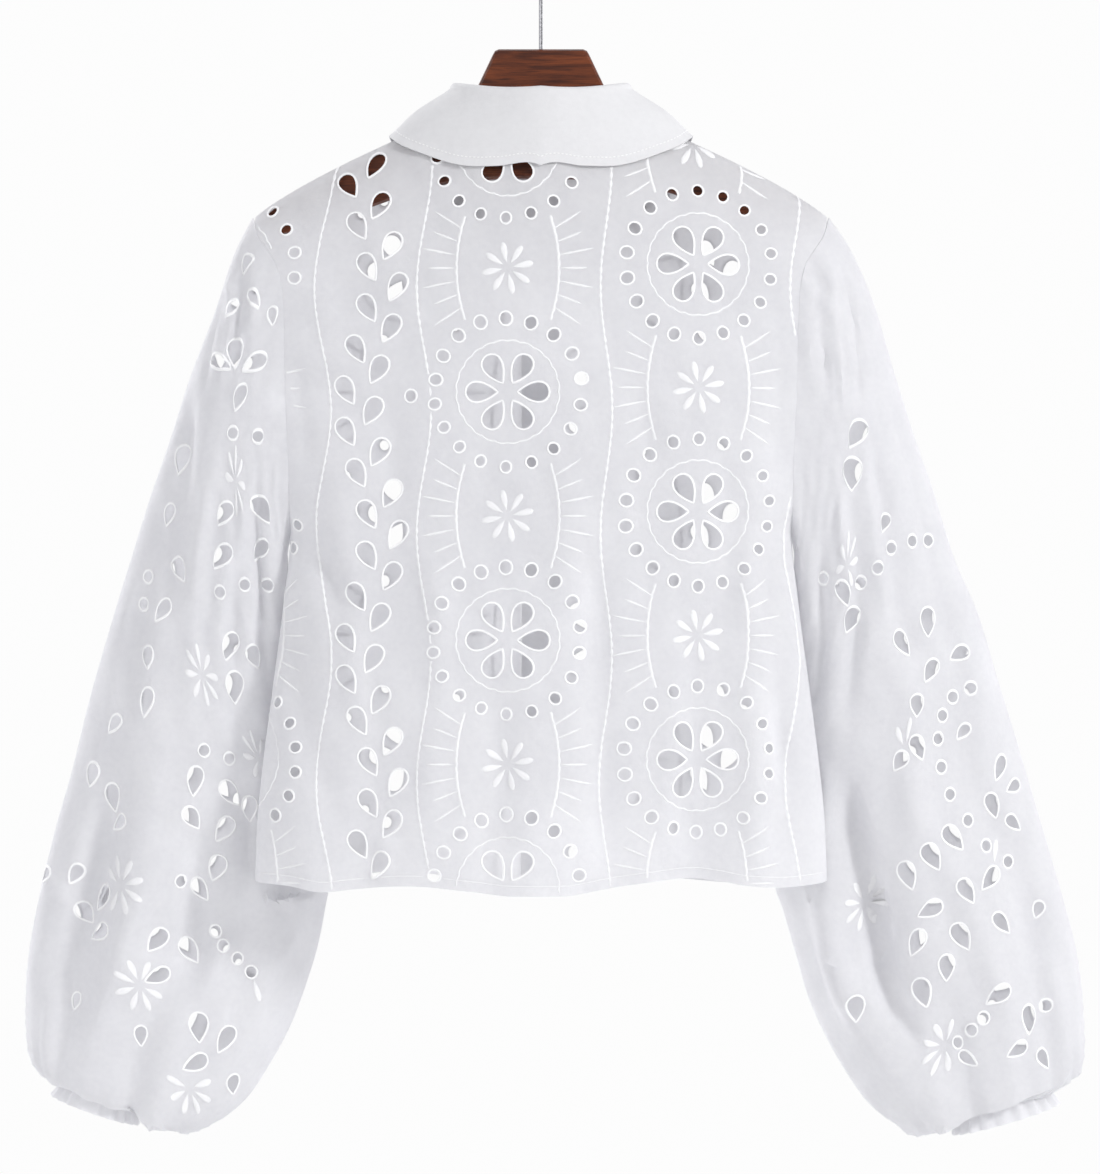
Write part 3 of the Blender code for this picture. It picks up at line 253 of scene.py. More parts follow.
SLEEVE_HOLES_RIGHT = table(
    "x drop lean length width",
    (193, 230, 0, 14, 9), (219, 368, 30, 20, 12), (216, 395, 0, 22, 13),
    (211, 478, -20, 18, 9), (216, 497, 20, 18, 10), (211, 514, 0, 15, 8),
    (270, 498, 0, 20, 11), (253, 513, -30, 19, 10), (273, 533, 30, 17, 9), (294, 521, 60, 14, 9),
    (263, 557, 0, 15, 9), (263, 586, -20, 17, 9), (251, 595, 30, 14, 9),
    (322, 601, 20, 18, 9), (334, 614, 60, 15, 8), (318, 628, -20, 18, 9), (334, 640, -50, 14, 8),
    (288, 650, -40, 20, 11), (273, 662, -30, 20, 11), (258, 676, -20, 20, 11),
    (255, 691, 10, 18, 10), (298, 688, -30, 18, 10), (316, 679, 40, 19, 10), (273, 699, 60, 18, 10),
    (324, 710, -40, 17, 9), (294, 719, -30, 20, 11), (264, 723, 20, 19, 10), (284, 740, 0, 18, 10),
    (269, 757, -20, 20, 11), (320, 760, 50, 19, 10), (343, 777, 0, 20, 10), (334, 798, 60, 16, 9),
    (354, 806, -30, 15, 9), (187, 640, 0, 17, 10), (192, 672, 0, 20, 11), (222, 770, 0, 18, 10),
    (300, 806, -60, 15, 8), (352, 700, 20, 12, 7), (296, 575, 40, 12, 7), (240, 430, 20, 12, 7),
)
FRONT_SHIFT = 14.0
ROW_STEP = 2.0
ROW_SLACK = 0.01
FOOT_POINTS = 90
ACROSS_SAMPLES = 181
SHOULDER_SAMPLES = 1200
HEM_CORNER = 199.3
FIND_LIMIT = 3.0

# Finer creases: soft troughs and ridges from one point of the cloth to another
BODY_CREASES = table(
    "x0 drop0 x1 drop1 width height",
    (172, 430, 120, 520, 11, -2.6), (176, 470, 150, 660, 12, -3.0), (140, 360, 128, 640, 10, 2.4),
    (100, 300, 96, 560, 13, -1.8), (72, 420, 76, 684, 11, 2.2), (40, 300, 36, 430, 12, -1.2),
    (34, 520, 30, 684, 12, -2.0), (-20, 330, -24, 640, 14, 1.8), (-44, 420, -40, 684, 10, -2.2),
    (-74, 300, -72, 520, 12, -1.6), (-92, 480, -84, 680, 10, 2.4), (-130, 330, -124, 560, 12, -2.2),
    (-150, 420, -146, 676, 11, 2.8), (-176, 440, -132, 540, 11, -2.8), (-168, 500, -170, 676, 10, -2.4),
    (150, 215, 110, 300, 16, -1.4), (-150, 215, -110, 300, 16, -1.4), (110, 640, 112, 684, 8, 2.0),
    (176, 300, 168, 400, 10, -1.8), (-176, 300, -168, 400, 10, -1.8),
)
SLEEVE_CREASES = table(
    "share0 down0 share1 down1 width height",
    (0.10, 70, 0.16, 330, 12, -2.4), (0.30, 60, 0.38, 300, 11, 2.2), (0.46, 90, 0.60, 260, 12, -3.0),
    (0.66, 60, 0.78, 200, 11, -2.8), (0.24, 300, 0.30, 560, 12, -3.0), (0.44, 260, 0.50, 600, 11, 3.0),
    (0.56, 380, 0.62, 640, 10, -3.4), (0.70, 330, 0.72, 640, 10, 2.6), (0.80, 250, 0.84, 480, 10, -2.6),
    (0.16, 420, 0.20, 650, 9, 2.2), (0.36, 480, 0.38, 670, 8, -2.6), (0.90, 330, 0.88, 560, 9, 2.0),
    (0.08, 560, 0.09, 680, 7, -2.0), (0.54, 60, 0.50, 170, 9, 2.0), (0.66, 560, 0.64, 680, 8, 2.0),
    (0.27, 600, 0.27, 690, 7, 2.0), (0.46, 610, 0.45, 690, 7, -2.2), (0.78, 590, 0.76, 690, 7, -2.2),
)
SLEEVE_CREASES_LEFT = table(
    "x0 drop0 x1 drop1 width height",
    (296, 560, 326, 800, 15, -6.0), (262, 540, 288, 800, 15, 4.5), (232, 620, 252, 810, 12, -4.5),
    (206, 600, 214, 790, 11, -4.0), (344, 640, 352, 780, 13, 2.5), (205, 232, 213, 330, 4, -1.6),
    (212, 240, 222, 340, 4, 1.6), (198, 232, 202, 320, 4, 1.4), (222, 255, 236, 350, 5, -1.4),
    (240, 330, 262, 520, 13, -3.0), (214, 400, 220, 560, 12, 2.6), (196, 380, 192, 520, 9, -2.6),
)
SLEEVE_CREASES_RIGHT = table(
    "x0 drop0 x1 drop1 width height",
    (213, 590, 251, 815, 11, -6.5), (192, 590, 232, 815, 11, 5.0), (270, 770, 294, 850, 8, -3.5),
    (171, 440, 205, 670, 10, -4.0), (190, 232, 197, 350, 4, -1.6), (200, 238, 209, 360, 4, 1.6),
    (210, 245, 222, 350, 4, -1.6), (184, 236, 188, 340, 4, 1.2), (250, 560, 286, 800, 15, 3.5),
    (318, 560, 352, 790, 15, -3.0), (230, 360, 262, 560, 13, -2.6), (286, 470, 318, 640, 14, 2.4),
)
CRUMPLE = table(
    "along down phase height",
    (0.21, 0.09, 0.3, 0.16), (-0.13, 0.17, 1.1, 0.16), (0.07, -0.24, 2.3, 0.14),
    (0.31, 0.05, 4.0, 0.12), (-0.19, -0.11, 5.2, 0.12), (0.11, 0.34, 0.9, 0.08),
)
CREASE_FADE = 16.0
CREASE_GAIN = 1.9
CREASE_WANDER = 0.35
CREASE_BENDS = 5.0
CREASE_ENDS = 0.3
CREASE_UNEVEN = 0.2
CREASE_BEATS = 11.0

# Meshes
BODY_GRID = 4.6
SLEEVE_GRID = 5.2
OUTLINE_STEP = 4.0
HOLE_CLEARANCE = 2.2
HOLE_GAP = 2.4
PETAL_SIDES = 20
EYELET_SIDES = 14
NEIGHBOUR = 40.0
ROW_SHARE = 0.87
EDGE_CLEARANCE = 0.45
GATHER_SIDES = 8

# Stitches. The sections of rims, lines and pads are pairs: across, then up. A thread has
# its half width, its rise and how far it sinks in.
RIM = ((-0.15, -0.2), (-0.2, 0.3), (0.3, 0.55), (1.0, 0.4), (1.3, -0.1))
LINE = ((-1, -0.4), (-0.6, 0.7), (0, 1), (0.6, 0.7), (1, -0.4))
LINE_HEIGHT = 0.32
PAD = ((1, -0.3), (0.92, 0.45), (0.6, 0.9), (0.2, 1))
PAD_HEIGHT = 0.6
STITCH_MARGIN = 1.6
STITCH_HOLE_MARGIN = 2.2
PAD_MARGIN = 1.5
HEM_STITCH = 7.0
HEM_STITCH_WIDTH = 0.8
BAND_STITCH = 2.5
BAND_STITCH_WIDTH = 0.7
BAND_STITCH_END = 3.0
SEAM_STITCHES = 160
RING_RADIUS = 51.0
RING_COUNT = 18
RING_SCATTER = (12.9, 7.3, 3.1)
RING_SLIP = 0.07
RING_WOBBLE = 0.8
RING_BEAT = 5.1
RING_SIZES = 0.10
EYELET_LENGTH = 8.2
EYELET_WIDTH = 7.4
SCALLOP_RADIUS = 35.0
SCALLOP_HEIGHT = 0.9
SCALLOP_WIDTH = 1.5
SCALLOP_STEPS = 96
SCALLOPS = 24
STAR_PETALS = 8
STAR_CENTRE = 11.0
STAR_LENGTH = 15.0
STAR_WIDTH = 4.6
STAR_TURN = 0.25
STAR_SIDES = 12
BRACKET_X = 29.0
BRACKET_BOW = 6.0
BRACKET_HALF = 36.0
BRACKET_WIDTH = 1.8
BRACKET_KNOT = 0.7
BRACKET_KNOTS = 18
BRACKET_STEPS = 37
RAYS = 7
RAY_START = 37.0
RAY_END = 60.0
RAY_SHORTER = 5.0
RAY_LEAN = 11.0
RAY_SPREAD = 2.2
RAY_WIDTHS = np.array([0.6, 1.4, 1.8, 1.9, 1.6, 0.6])
CHAINS = table("x sway", (81, 5), (-45, 4), (-180, 6))
CHAIN_BEAD = 6.0
CHAIN_WIDTH = 0.7
CHAIN_BEAD_WIDTH = 2.0
CHAIN_TOP = 150.0
CHAIN_BOTTOM = 690.0
LEAF_STITCH_IN = 5.0
LEAF_STITCH_POINTS = 900
LEAF_STITCH_RUN = 4
LEAF_STITCH_PITCH = 6
LEAF_THREAD = (0.35, 0.3, 0.2)
LEAF_THREAD_OUT = 0.02
BUTTON_THREAD = (0.4, 0.4, 0.3)
BUTTON_THREAD_HALF = 1.7
BUTTON_THREAD_ARCH = 0.55
BUTTON_THREAD_SINK = 0.3
BUTTON_THREAD_POINTS = 9
EXTRA_EYELETS = table("x drop", (90, 342), (-167, 258))
SLEEVE_EYELETS_LEFT = table(
    "x drop",
    (213.5, 367.5), (196.7, 368.9), (277.2, 466.2), (281.4, 485.8), (223.3, 477.4), (206.5, 471.8),
    (190.4, 472.5), (235.2, 588), (219.1, 594.3), (252.7, 679.7), (228.2, 715.4), (223.3, 725.2),
    (213.5, 735.7), (203.7, 746.2), (182, 232), (196, 240), (186, 262),
)
SLEEVE_EYELETS_RIGHT = table(
    "x drop",
    (196.7, 469), (223.3, 471.1), (234.5, 460.6), (245, 446.6), (258.3, 441.7), (272.3, 440.3),
    (300.3, 544.6), (289.1, 551.6), (280.7, 564.2), (277.2, 579.6), (280, 599.9), (287, 619.5),
    (298.9, 637.7), (314.3, 655.9), (330.4, 667.8), (340.9, 763.7), (355.6, 767.9), (310.8, 776.3),
    (302.4, 786.1), (292.6, 795.2),
)
SLEEVE_STARS_LEFT = table(
    "x drop",
    (207, 323), (213, 534), (307, 622), (222, 697), (300, 700), (246, 470), (270, 770),
)
SLEEVE_STARS_RIGHT = table(
    "x drop",
    (329, 611), (343, 795), (216, 386), (262, 522), (240, 640), (300, 740),
)
SLEEVE_STAR_SHIFT = (30, 44)

# The picture: 1100 by 1174 pixels at 0.70 mm each, seen level from the back
VIEW_X = -6.3
VIEW_DROP = 473.9
VIEW_WIDTH = 770.0
VIEW_DISTANCE = 3000.0
SENSOR = 36.0
FLOOR_DROP = 1150.0
FLOOR_HALF = 1300.0

# Lights behind the garment, each with its like in front: name, place and size in metres, power in watts
LIGHTS = (("key", -2.4, 1.7, 0.8, 0.6, 60), ("fill", 2.2, 2.2, 0.0, 1.4, 18))


def smooth(at, xs, ys):
    """A smooth curve through a table's points that never overshoots them."""
    steps = np.diff(xs)
    slopes = np.diff(ys) / steps
    product = slopes[:-1] * slopes[1:]
    total = np.where(product > 0, slopes[:-1] + slopes[1:], 1)
    inner = np.where(product > 0, 2 * product / total, 0)
    tangents = np.concatenate([slopes[:1], inner, slopes[-1:]])
    at = np.clip(at, xs[0], xs[-1])
    i = np.clip(np.searchsorted(xs, at, side="right") - 1, 0, len(steps) - 1)
    t = (at - xs[i]) / steps[i]
    bend = t * (1 - t) * ((1 - t) * tangents[i] - t * tangents[i + 1])
    return ys[i] * (1 + 2 * t) * (1 - t) ** 2 + ys[i + 1] * t * t * (3 - 2 * t) + steps[i] * bend


def ease(t):
    """Goes from 0 to 1 with soft ends."""
    t = np.clip(t, 0, 1)
    return t * t * (3 - 2 * t)


def shoulder_drop(x):
    """The shoulder line's drop at x."""
    return smooth(np.abs(x), SHOULDER["out"], SHOULDER["drop"])


def body_end(drop):
    """How far out a body panel reaches: to the shoulder line, the armhole or the side seam."""
    outs = np.linspace(0, SHOULDER["out"][-1], SHOULDER_SAMPLES)
    on_shoulder = np.interp(drop, shoulder_drop(outs), outs)
    below = smooth(drop, BODY["drop"], BODY["edge"])
    return np.where(drop < SHOULDER_TIP_DROP, on_shoulder, below)


def body_depth(x, drop, folds):
    """Distance of a panel from the garment's middle plane."""
    under = np.maximum(drop - shoulder_drop(x), 0)
    fall = np.sqrt(1 - np.exp(-under / SHOULDER_ROLL))
    reach = smooth(drop, BODY["drop"], BODY["reach"])
    ratio = np.clip(np.abs(x) / reach, 0, 1)
    plan = (1 - ratio ** BODY_SQUARENESS) ** (1 / BODY_SQUARENESS)
    ripple = np.zeros(np.shape(x * drop))
    for centre, spread, height, start in zip(*folds.values()):
        grown = ease((drop - start) / (SIDE_DROP - start))
        ripple = ripple + height * grown * np.exp(-((x - centre) / spread) ** 2)
    return SEAM / 2 + (BODY_DEPTH * fall + ripple) * plan


def mirrored(folds):
    """The same folds on the other panel, from left to right."""
    return {**folds, "x": -folds["x"]}


def hem_drop(x):
    """The hem's drop at x."""
    return smooth(x, HEM["x"], HEM["drop"])


def neck_drop(x, dip):
    """The neckline's drop at x, dipping that much in the middle."""
    return NECK_SIDE_DROP + dip * (1 - (x / NECK_HALF) ** 2)


class Cloth:
    """A curved sheet with a flat chart: distance across it, and distance down its rows."""

    def __init__(self, top, rows, middle, flipped):
        self.top = top
        self.flipped = flipped
        lengths = np.linalg.norm(np.diff(rows, axis=1), axis=2)
        arcs = np.concatenate([np.zeros((len(rows), 1)), np.cumsum(lengths, axis=1)], axis=1)
        self.width = arcs[:, -1]
        self.start = -np.array([np.interp(middle, range(arcs.shape[1]), arc) for arc in arcs])
        self.fractions = np.linspace(0, 1, rows.shape[1])
        self.points = np.empty_like(rows)
        for i, (row, arc) in enumerate(zip(rows, arcs)):
            for axis in range(3):
                self.points[i, :, axis] = np.interp(self.fractions * arc[-1], arc, row[:, axis])
        across = np.gradient(self.points, axis=1)
        down = np.gradient(self.points, axis=0)
        normals = np.cross(across, down)
        if flipped:
            normals = -normals
        self.normals = normals / np.maximum(np.linalg.norm(normals, axis=2, keepdims=True), 1e-9)

    def row(self, down):
        """The row above a distance down the chart, and how far it is on to the next."""
        i = np.clip((down - self.top) / ROW_STEP, 0, len(self.points) - 1.001)
        low = i.astype(int)
        return low, i - low

    def span(self, down):
        """The chart's left and right ends at a row."""
        low, t = self.row(np.asarray(down, float))
        start = self.start[low] * (1 - t) + self.start[low + 1] * t
        width = self.width[low] * (1 - t) + self.width[low + 1] * t
        return start, start + width

    def place(self, flat, out):
        """Points in space, out by that much from the sheet, for points of the chart."""
        low, t = self.row(flat[:, 1])
        start, end = self.span(flat[:, 1])
        f = np.clip((flat[:, 0] - start) / (end - start), 0, 1) * (self.points.shape[1] - 1)
        left = np.minimum(f.astype(int), self.points.shape[1] - 2)
        s = (f - left)[:, None]
        t = t[:, None]

        def blend(grid):
            """The values between the four points round each place."""
            upper = grid[low, left] * (1 - s) + grid[low, left + 1] * s
            lower = grid[low + 1, left] * (1 - s) + grid[low + 1, left + 1] * s
            return upper * (1 - t) + lower * t

        normals = blend(self.normals)
        normals /= np.linalg.norm(normals, axis=1, keepdims=True)
        return blend(self.points) + out * normals

    def across(self, x, down):
        """The chart's distance across at which a row passes x."""
        low, t = self.row(np.array([down], float))
        found = []
        for i in (low[0], low[0] + 1):
            xs = self.points[i, :, 0]
            arc = self.start[i] + self.width[i] * self.fractions
            order = np.argsort(xs)
            found.append(np.interp(x, xs[order], arc[order]))
        return found[0] * (1 - t[0]) + found[1] * t[0]

    def find(self, x, drop):
        """The chart's point that hangs at x and drop."""
        gap = (self.points[:, :, 0] - x) ** 2 + (self.points[:, :, 2] + drop) ** 2
        i, j = np.unravel_index(np.argmin(gap), gap.shape)
        flat = np.array([self.start[i] + self.width[i] * self.fractions[j], self.top + i * ROW_STEP])
        return flat, math.sqrt(gap[i, j])

    def draw(self, centre, shape):
        """A small flat outline laid on the cloth at the chart's point centre, at its true size."""
        step = 1.0
        around = np.array([centre, centre + (step, 0), centre + (0, step)])
        origin, beside, below = self.place(around, 0)
        along = np.stack([beside - origin, below - origin], axis=1) / step
        level = np.array([1.0, 0.0, 0.0])
        normal = np.cross(along[:, 0], along[:, 1])
        normal /= np.linalg.norm(normal)
        level -= normal * level.dot(normal)
        level /= np.linalg.norm(level)
        falling = np.cross(normal, level)
        if falling[2] > 0:
            falling = -falling
        in_space = shape[:, :1] * level + shape[:, 1:] * falling
        return centre + in_space @ np.linalg.pinv(along).T


def body_cloth(side, folds):
    """The back panel's sheet for side 1, the front's for side -1."""
    drops = np.arange(BODY_TOP, BODY_BOTTOM + ROW_STEP, ROW_STEP)
    shares = np.sin(np.linspace(-math.pi / 2, math.pi / 2, ACROSS_SAMPLES))
    x = body_end(drops)[:, None] * shares
    drop = np.broadcast_to(drops[:, None], x.shape)
    depth = body_depth(x, drop, folds)
    on_shoulder = drops < SHOULDER_TIP_DROP
    depth[on_shoulder, 0] = depth[on_shoulder, -1] = SEAM / 2
    rows = np.stack([x, side * depth, -drop], axis=2)
    return Cloth(BODY_TOP, rows, (ACROSS_SAMPLES - 1) / 2, side < 0)


def wave(share, count, phase):
    """Uneven gathers: a wave whose height changes from one to the next."""
    turn = 2 * math.pi * share
    uneven = GATHER_EVEN + GATHER_UNEVEN * np.sin(3 * turn + phase)
    return np.sin(count * turn + phase + GATHER_DRIFT * np.sin(2 * turn)) * uneven


def sleeve_length(rows):
    """Distance down the sleeve's middle at each row of its table."""
    middle = np.stack([
        (rows["over_x"] + rows["under_x"]) / 2,
        (rows["over_drop"] + rows["under_drop"]) / 2,
        (rows["over_y"] + rows["under_y"]) / 2,
    ], axis=1)
    return np.concatenate([[0], np.cumsum(np.linalg.norm(np.diff(middle, axis=0), axis=1))])


def sleeve_rings(rows, half, turns):
    """The sleeve's rings before its folds, for the angles turns from overarm to underarm."""
    lengths = sleeve_length(rows)
    downs = np.arange(0, lengths[-1], ROW_STEP)
    downs = downs * lengths[-1] / downs[-1]
    at = {name: smooth(downs, lengths, column)[:, None] for name, column in rows.items()}
    over = np.stack([at["over_x"], at["over_y"], -at["over_drop"]], axis=2)
    under = np.stack([at["under_x"], at["under_y"], -at["under_drop"]], axis=2)
    reach = (over - under) / 2
    level = reach / np.linalg.norm(reach, axis=2, keepdims=True)
    out = np.array([0.0, half, 0.0]) - level * (level[:, :, 1:2] * half)
    out /= np.linalg.norm(out, axis=2, keepdims=True)
    cos = np.cos(turns)[None, :, None]
    sin = np.sin(turns)[None, :, None]
    ring = (over + under) / 2 + reach * cos + out * at["depth"][:, :, None] * sin
    share = (1 + np.cos(turns)) / 2
    drop = ARMPIT_DROP - (ARMPIT_DROP - SHOULDER_TIP_DROP) * share
    edge = body_end(drop)
    depth = body_depth(edge, drop, NO_FOLDS)
    steep = (body_depth(edge - 1, drop, NO_FOLDS) - depth).clip(0)
    clear = ARMHOLE_SEAM + WALL * steep / np.sqrt(1 + steep ** 2)
    armhole = np.stack([edge + clear, half * depth, -drop], axis=1)
    fade = (1 - np.clip(downs / ARMHOLE_BLEND, 0, 1))[:, None, None] ** 2
    ring = ring + fade * (armhole - ring[0])
    radial = level * cos + out * sin
    return downs, ring, radial


def sleeve_ripple(downs, share, folds, half, last):
    """Height of the folds and gathers: share runs 0 to 1 from overarm to underarm."""
    down = downs[:, None]
    ripple = np.zeros((len(downs), len(share)))
    signed = share * half
    for across, spread, height, start, end in zip(*folds.values()):
        run = end - start
        grown = ease((down - start) / (FOLD_RISE * run)) * ease((end - down) / (FOLD_FALL * run))
        ripple += height * grown * np.exp(-((signed - across) / spread) ** 2)
    head = np.exp(-down / HEAD_GATHER_LENGTH) * ease(down / HEAD_GATHER_START)
    head = head * ease((HEAD_GATHER_SPREAD - share) / HEAD_GATHER_FADE)
    ripple += HEAD_GATHER_HEIGHT * head * wave(signed / HEAD_GATHER_SPREAD / 2, HEAD_GATHERS, HEAD_PHASE)
    cuff = np.exp((down - last) / CUFF_GATHER_LENGTH)
    ripple += CUFF_GATHER_HEIGHT * cuff * wave(signed / 2, CUFF_GATHERS, 0.0)
    return ripple


def clear_of_body(points):
    """Keeps a sleeve that hangs before the front panel clear of it."""
    x = np.abs(points[:, :, 0])
    drop = -points[:, :, 2]
    edge = smooth(drop, BODY["drop"], BODY["reach"])
    beside = np.clip(x - edge, 0, None)
    front = -body_depth(np.minimum(x, edge), drop, NO_FOLDS) - 2 * WALL - LAP
    limit = front + beside * PRESS_SLOPE
    below = (drop > ARMPIT_DROP + PRESS_START) & (x < edge + PRESS_BESIDE) & (drop < BODY_BOTTOM)
    over = (points[:, :, 1] - limit) / PRESS_SOFTNESS
    pressed = limit + PRESS_SOFTNESS * (over - np.logaddexp(0, over))
    points[:, :, 1] = np.where(below, np.minimum(points[:, :, 1], pressed), points[:, :, 1])
    return points


def sleeve_cloth(rows, side, half, folds):
    """One half of a sleeve: side 1 is the left sleeve, half 1 its back."""
    turns = np.linspace(0, math.pi, ACROSS_SAMPLES)
    downs, ring, radial = sleeve_rings(rows, half, turns)
    share = turns / math.pi
    ring = ring + radial * sleeve_ripple(downs, share, folds, half, downs[-1])[:, :, None]
    ring = clear_of_body(ring)
    ring[:, :, 1] += half * SLEEVE_SEAM / 2
    ring[:, :, 0] *= side
    return Cloth(0.0, ring, 0, side * half > 0)


def inside(polygon, points):
    """Which points lie in a closed outline."""
    a, b = polygon, np.roll(polygon, 1, axis=0)
    rise = np.where(a[:, 1] == b[:, 1], 1, b[:, 1] - a[:, 1])
    within = []
    for some in chunks(points):
        x, y = some[:, :1], some[:, 1:]
        crosses = (a[:, 1] > y) != (b[:, 1] > y)
        at = a[:, 0] + (y - a[:, 1]) * (b[:, 0] - a[:, 0]) / rise
        within.append((crosses & (x < at)).sum(axis=1) % 2 == 1)
    return np.concatenate(within)


def distance(polygon, points):
    """Distance of each point from a closed outline."""
    along = np.roll(polygon, -1, axis=0) - polygon
    square = np.maximum((along * along).sum(axis=1), 1e-9)
    nearest = []
    for some in chunks(points):
        offset = some[:, None] - polygon
        t = np.clip((offset * along).sum(axis=2) / square, 0, 1)
        gap = offset - t[:, :, None] * along
        nearest.append(np.sqrt((gap * gap).sum(axis=2).min(axis=1)))
    return np.concatenate(nearest)


def chunks(points):
    """The points in short runs, so that a table of points by edges stays small."""
    return np.array_split(points, max(1, len(points) // 500))


def wall_mesh(outer, inner, faces):
    """Joins an outer sheet and an inner sheet with the same faces into one closed wall."""
    count = len(outer)
    faces = [tuple(int(i) for i in face) for face in faces]
    seen = {(face[i], face[(i + 1) % len(face)]) for face in faces for i in range(len(face))}
    closed = list(faces) + [tuple(i + count for i in reversed(face)) for face in faces]
    for a, b in seen:
        if (b, a) not in seen:
            closed.append((b, a, a + count, b + count))
    return np.concatenate([outer, inner]), closed


def grid_faces(rows, columns, wrapped):
    """Quads over a grid of points, row by row."""
    faces = []
    for i in range(rows - 1):
        for j in range(columns if wrapped else columns - 1):
            k = (j + 1) % columns
            faces.append((i * columns + j, (i + 1) * columns + j, (i + 1) * columns + k, i * columns + k))
    return faces


def grid_normals(points, wrapped):
    """Unit normals of a grid of points, from its rows and columns."""
    if wrapped:
        across = np.roll(points, -1, axis=1) - np.roll(points, 1, axis=1)
    else:
        across = np.gradient(points, axis=1)
    normals = np.cross(np.gradient(points, axis=0), across)
    return normals / np.maximum(np.linalg.norm(normals, axis=2, keepdims=True), 1e-9)


def grid_wall(points, thickness, wrapped):
    """A closed wall whose inner face is the grid of points."""
    rows, columns = points.shape[:2]
    normals = grid_normals(points, wrapped)
    outer = (points + thickness * normals).reshape(-1, 3)
    return wall_mesh(outer, points.reshape(-1, 3), grid_faces(rows, columns, wrapped))


def spaced(start, end, spacing):
    """Evenly spaced values from start to end, without the end."""
    count = max(2, round(abs(end - start) / spacing))
    return np.linspace(start, end, count, endpoint=False)


def neck_ring(turns):
    """The neckline, and the way out from it, for turns in degrees from the middle of the back."""
    angle = np.radians(turns)
    back = np.abs(turns) < 90
    x = NECK_HALF * np.sin(angle)
    drop = neck_drop(x, np.where(back, NECK_BACK_DIP, NECK_FRONT_DIP))
    y = np.where(back, 1, -1) * body_depth(x, drop, NO_FOLDS)
    ring = np.stack([x, y, -drop], axis=1)
    along = np.gradient(ring[:, :2], axis=0)
    out = np.stack([-along[:, 1], along[:, 0], np.zeros(len(x))], axis=1)
    out *= np.sign((out * ring).sum(axis=1))[:, None]
    return ring, out / np.linalg.norm(out, axis=1, keepdims=True)


def stand_edges(turns):
    """The foot and the top of the collar stand's outer face, and the way out from it."""
    ring, out = neck_ring(turns)
    lift = STAND_LIFT * ease((STAND_LAP_TURN - turns) / STAND_LAP_EASE) - STAND_INSET
    foot = ring + out * lift[:, None]
    foot[:, 2] += STAND_INSET
    top = ring + out * (lift - STAND_TAPER)[:, None]
    top[:, 2] += smooth(np.abs(turns), STAND["turn"], STAND["height"])
    return foot, top, out


class Drape:
    """A piece's cloth with its finer creases, and everything that lies on it."""

    def __init__(self, cloth, creases):
        self.cloth = cloth
        self.creases = creases

    def relief(self, flat):
        """Height of the creases at points of the chart, fading out at the sides."""
        start, end = self.cloth.span(flat[:, 1])
        height = np.zeros(len(flat))
        for u0, v0, u1, v1, width, rise in self.creases:
            origin, along = np.array([u0, v0]), np.array([u1 - u0, v1 - v0])
            run = np.linalg.norm(along)
            offset = flat - origin
            t = offset @ along / run / run
            aside = offset @ np.array([-along[1], along[0]]) / run
            aside = aside + CREASE_WANDER * width * np.sin(CREASE_BENDS * t + u0)
            body = np.exp(-(aside / width) ** 2) * ease(t / CREASE_ENDS) * ease((1 - t) / CREASE_ENDS)
            uneven = 1 - CREASE_UNEVEN + CREASE_UNEVEN * np.sin(CREASE_BEATS * t + v0)
            height += CREASE_GAIN * rise * body * uneven
        for along, down, phase, rise in zip(*CRUMPLE.values()):
            height += rise * np.sin(along * flat[:, 0] + down * flat[:, 1] + phase)
        side = np.minimum(flat[:, 0] - start, end - flat[:, 0])
        return height * ease(side / CREASE_FADE)

    def put(self, flat, out):
        """Points in space for points of the chart, out by that much from the creased cloth."""
        placed = self.cloth.place(flat, 0.0)
        normals = self.cloth.place(flat, 1.0) - placed
        return placed + (self.relief(flat) + out)[:, None] * normals


def creases_by_share(cloth, creases):
    """Creases whose ends are given as a share of the chart's width."""
    found = []
    for share0, down0, share1, down1, width, rise in zip(*creases.values()):
        (start0, start1), (end0, end1) = cloth.span(np.array([down0, down1]))
        u0, u1 = start0 + (end0 - start0) * share0, start1 + (end1 - start1) * share1
        found.append((u0, down0, u1, down1, width, rise))
    return found


def creases_by_place(cloth, side, creases):
    """Creases whose ends are given where they hang."""
    found = []
    for x0, drop0, x1, drop1, width, rise in zip(*creases.values()):
        start, end = cloth.find(side * x0, drop0)[0], cloth.find(side * x1, drop1)[0]
        found.append((*start, *end, width, rise))
    return found


def add(name, vertices, faces, look, sharp=40):
    """Puts a mesh given in millimetres into the scene as an object that rides on the frame."""
    mesh = bpy.data.meshes.new(name)
    mesh.from_pydata((np.asarray(vertices) * MM).tolist(), [], faces)
    mesh.validate()
    mesh.shade_smooth()
    mesh.set_sharp_from_angle(angle=math.radians(sharp))
    mesh.materials.append(look)
    made = bpy.data.objects.new(name, mesh)
    bpy.context.scene.collection.objects.link(made)
    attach(made, "root")
    return made


def merged(parts):
    """Several meshes as one: vertices, then faces."""
    vertices, faces, first = [], [], 0
    for points, corners in parts:
        vertices.append(points)
        faces += [tuple(i + first for i in face) for face in corners]
        first += len(points)
    return np.concatenate(vertices), faces


def leaned(along, beside, lean):
    """An outline whose long side points lean degrees away from straight down."""
    a = math.radians(lean)
    return np.stack([along * math.sin(a) + beside * math.cos(a),
                     along * math.cos(a) - beside * math.sin(a)], axis=1)


def teardrop(length, width, lean, sides=PETAL_SIDES):
    """A leaf-shaped outline, its point towards lean degrees."""
    t = np.linspace(0, 2 * math.pi, sides, endpoint=False)
    return leaned(length / 2 * np.cos(t), width / HOLE_SWELL * np.sin(t) * np.sin(t / 2), lean)


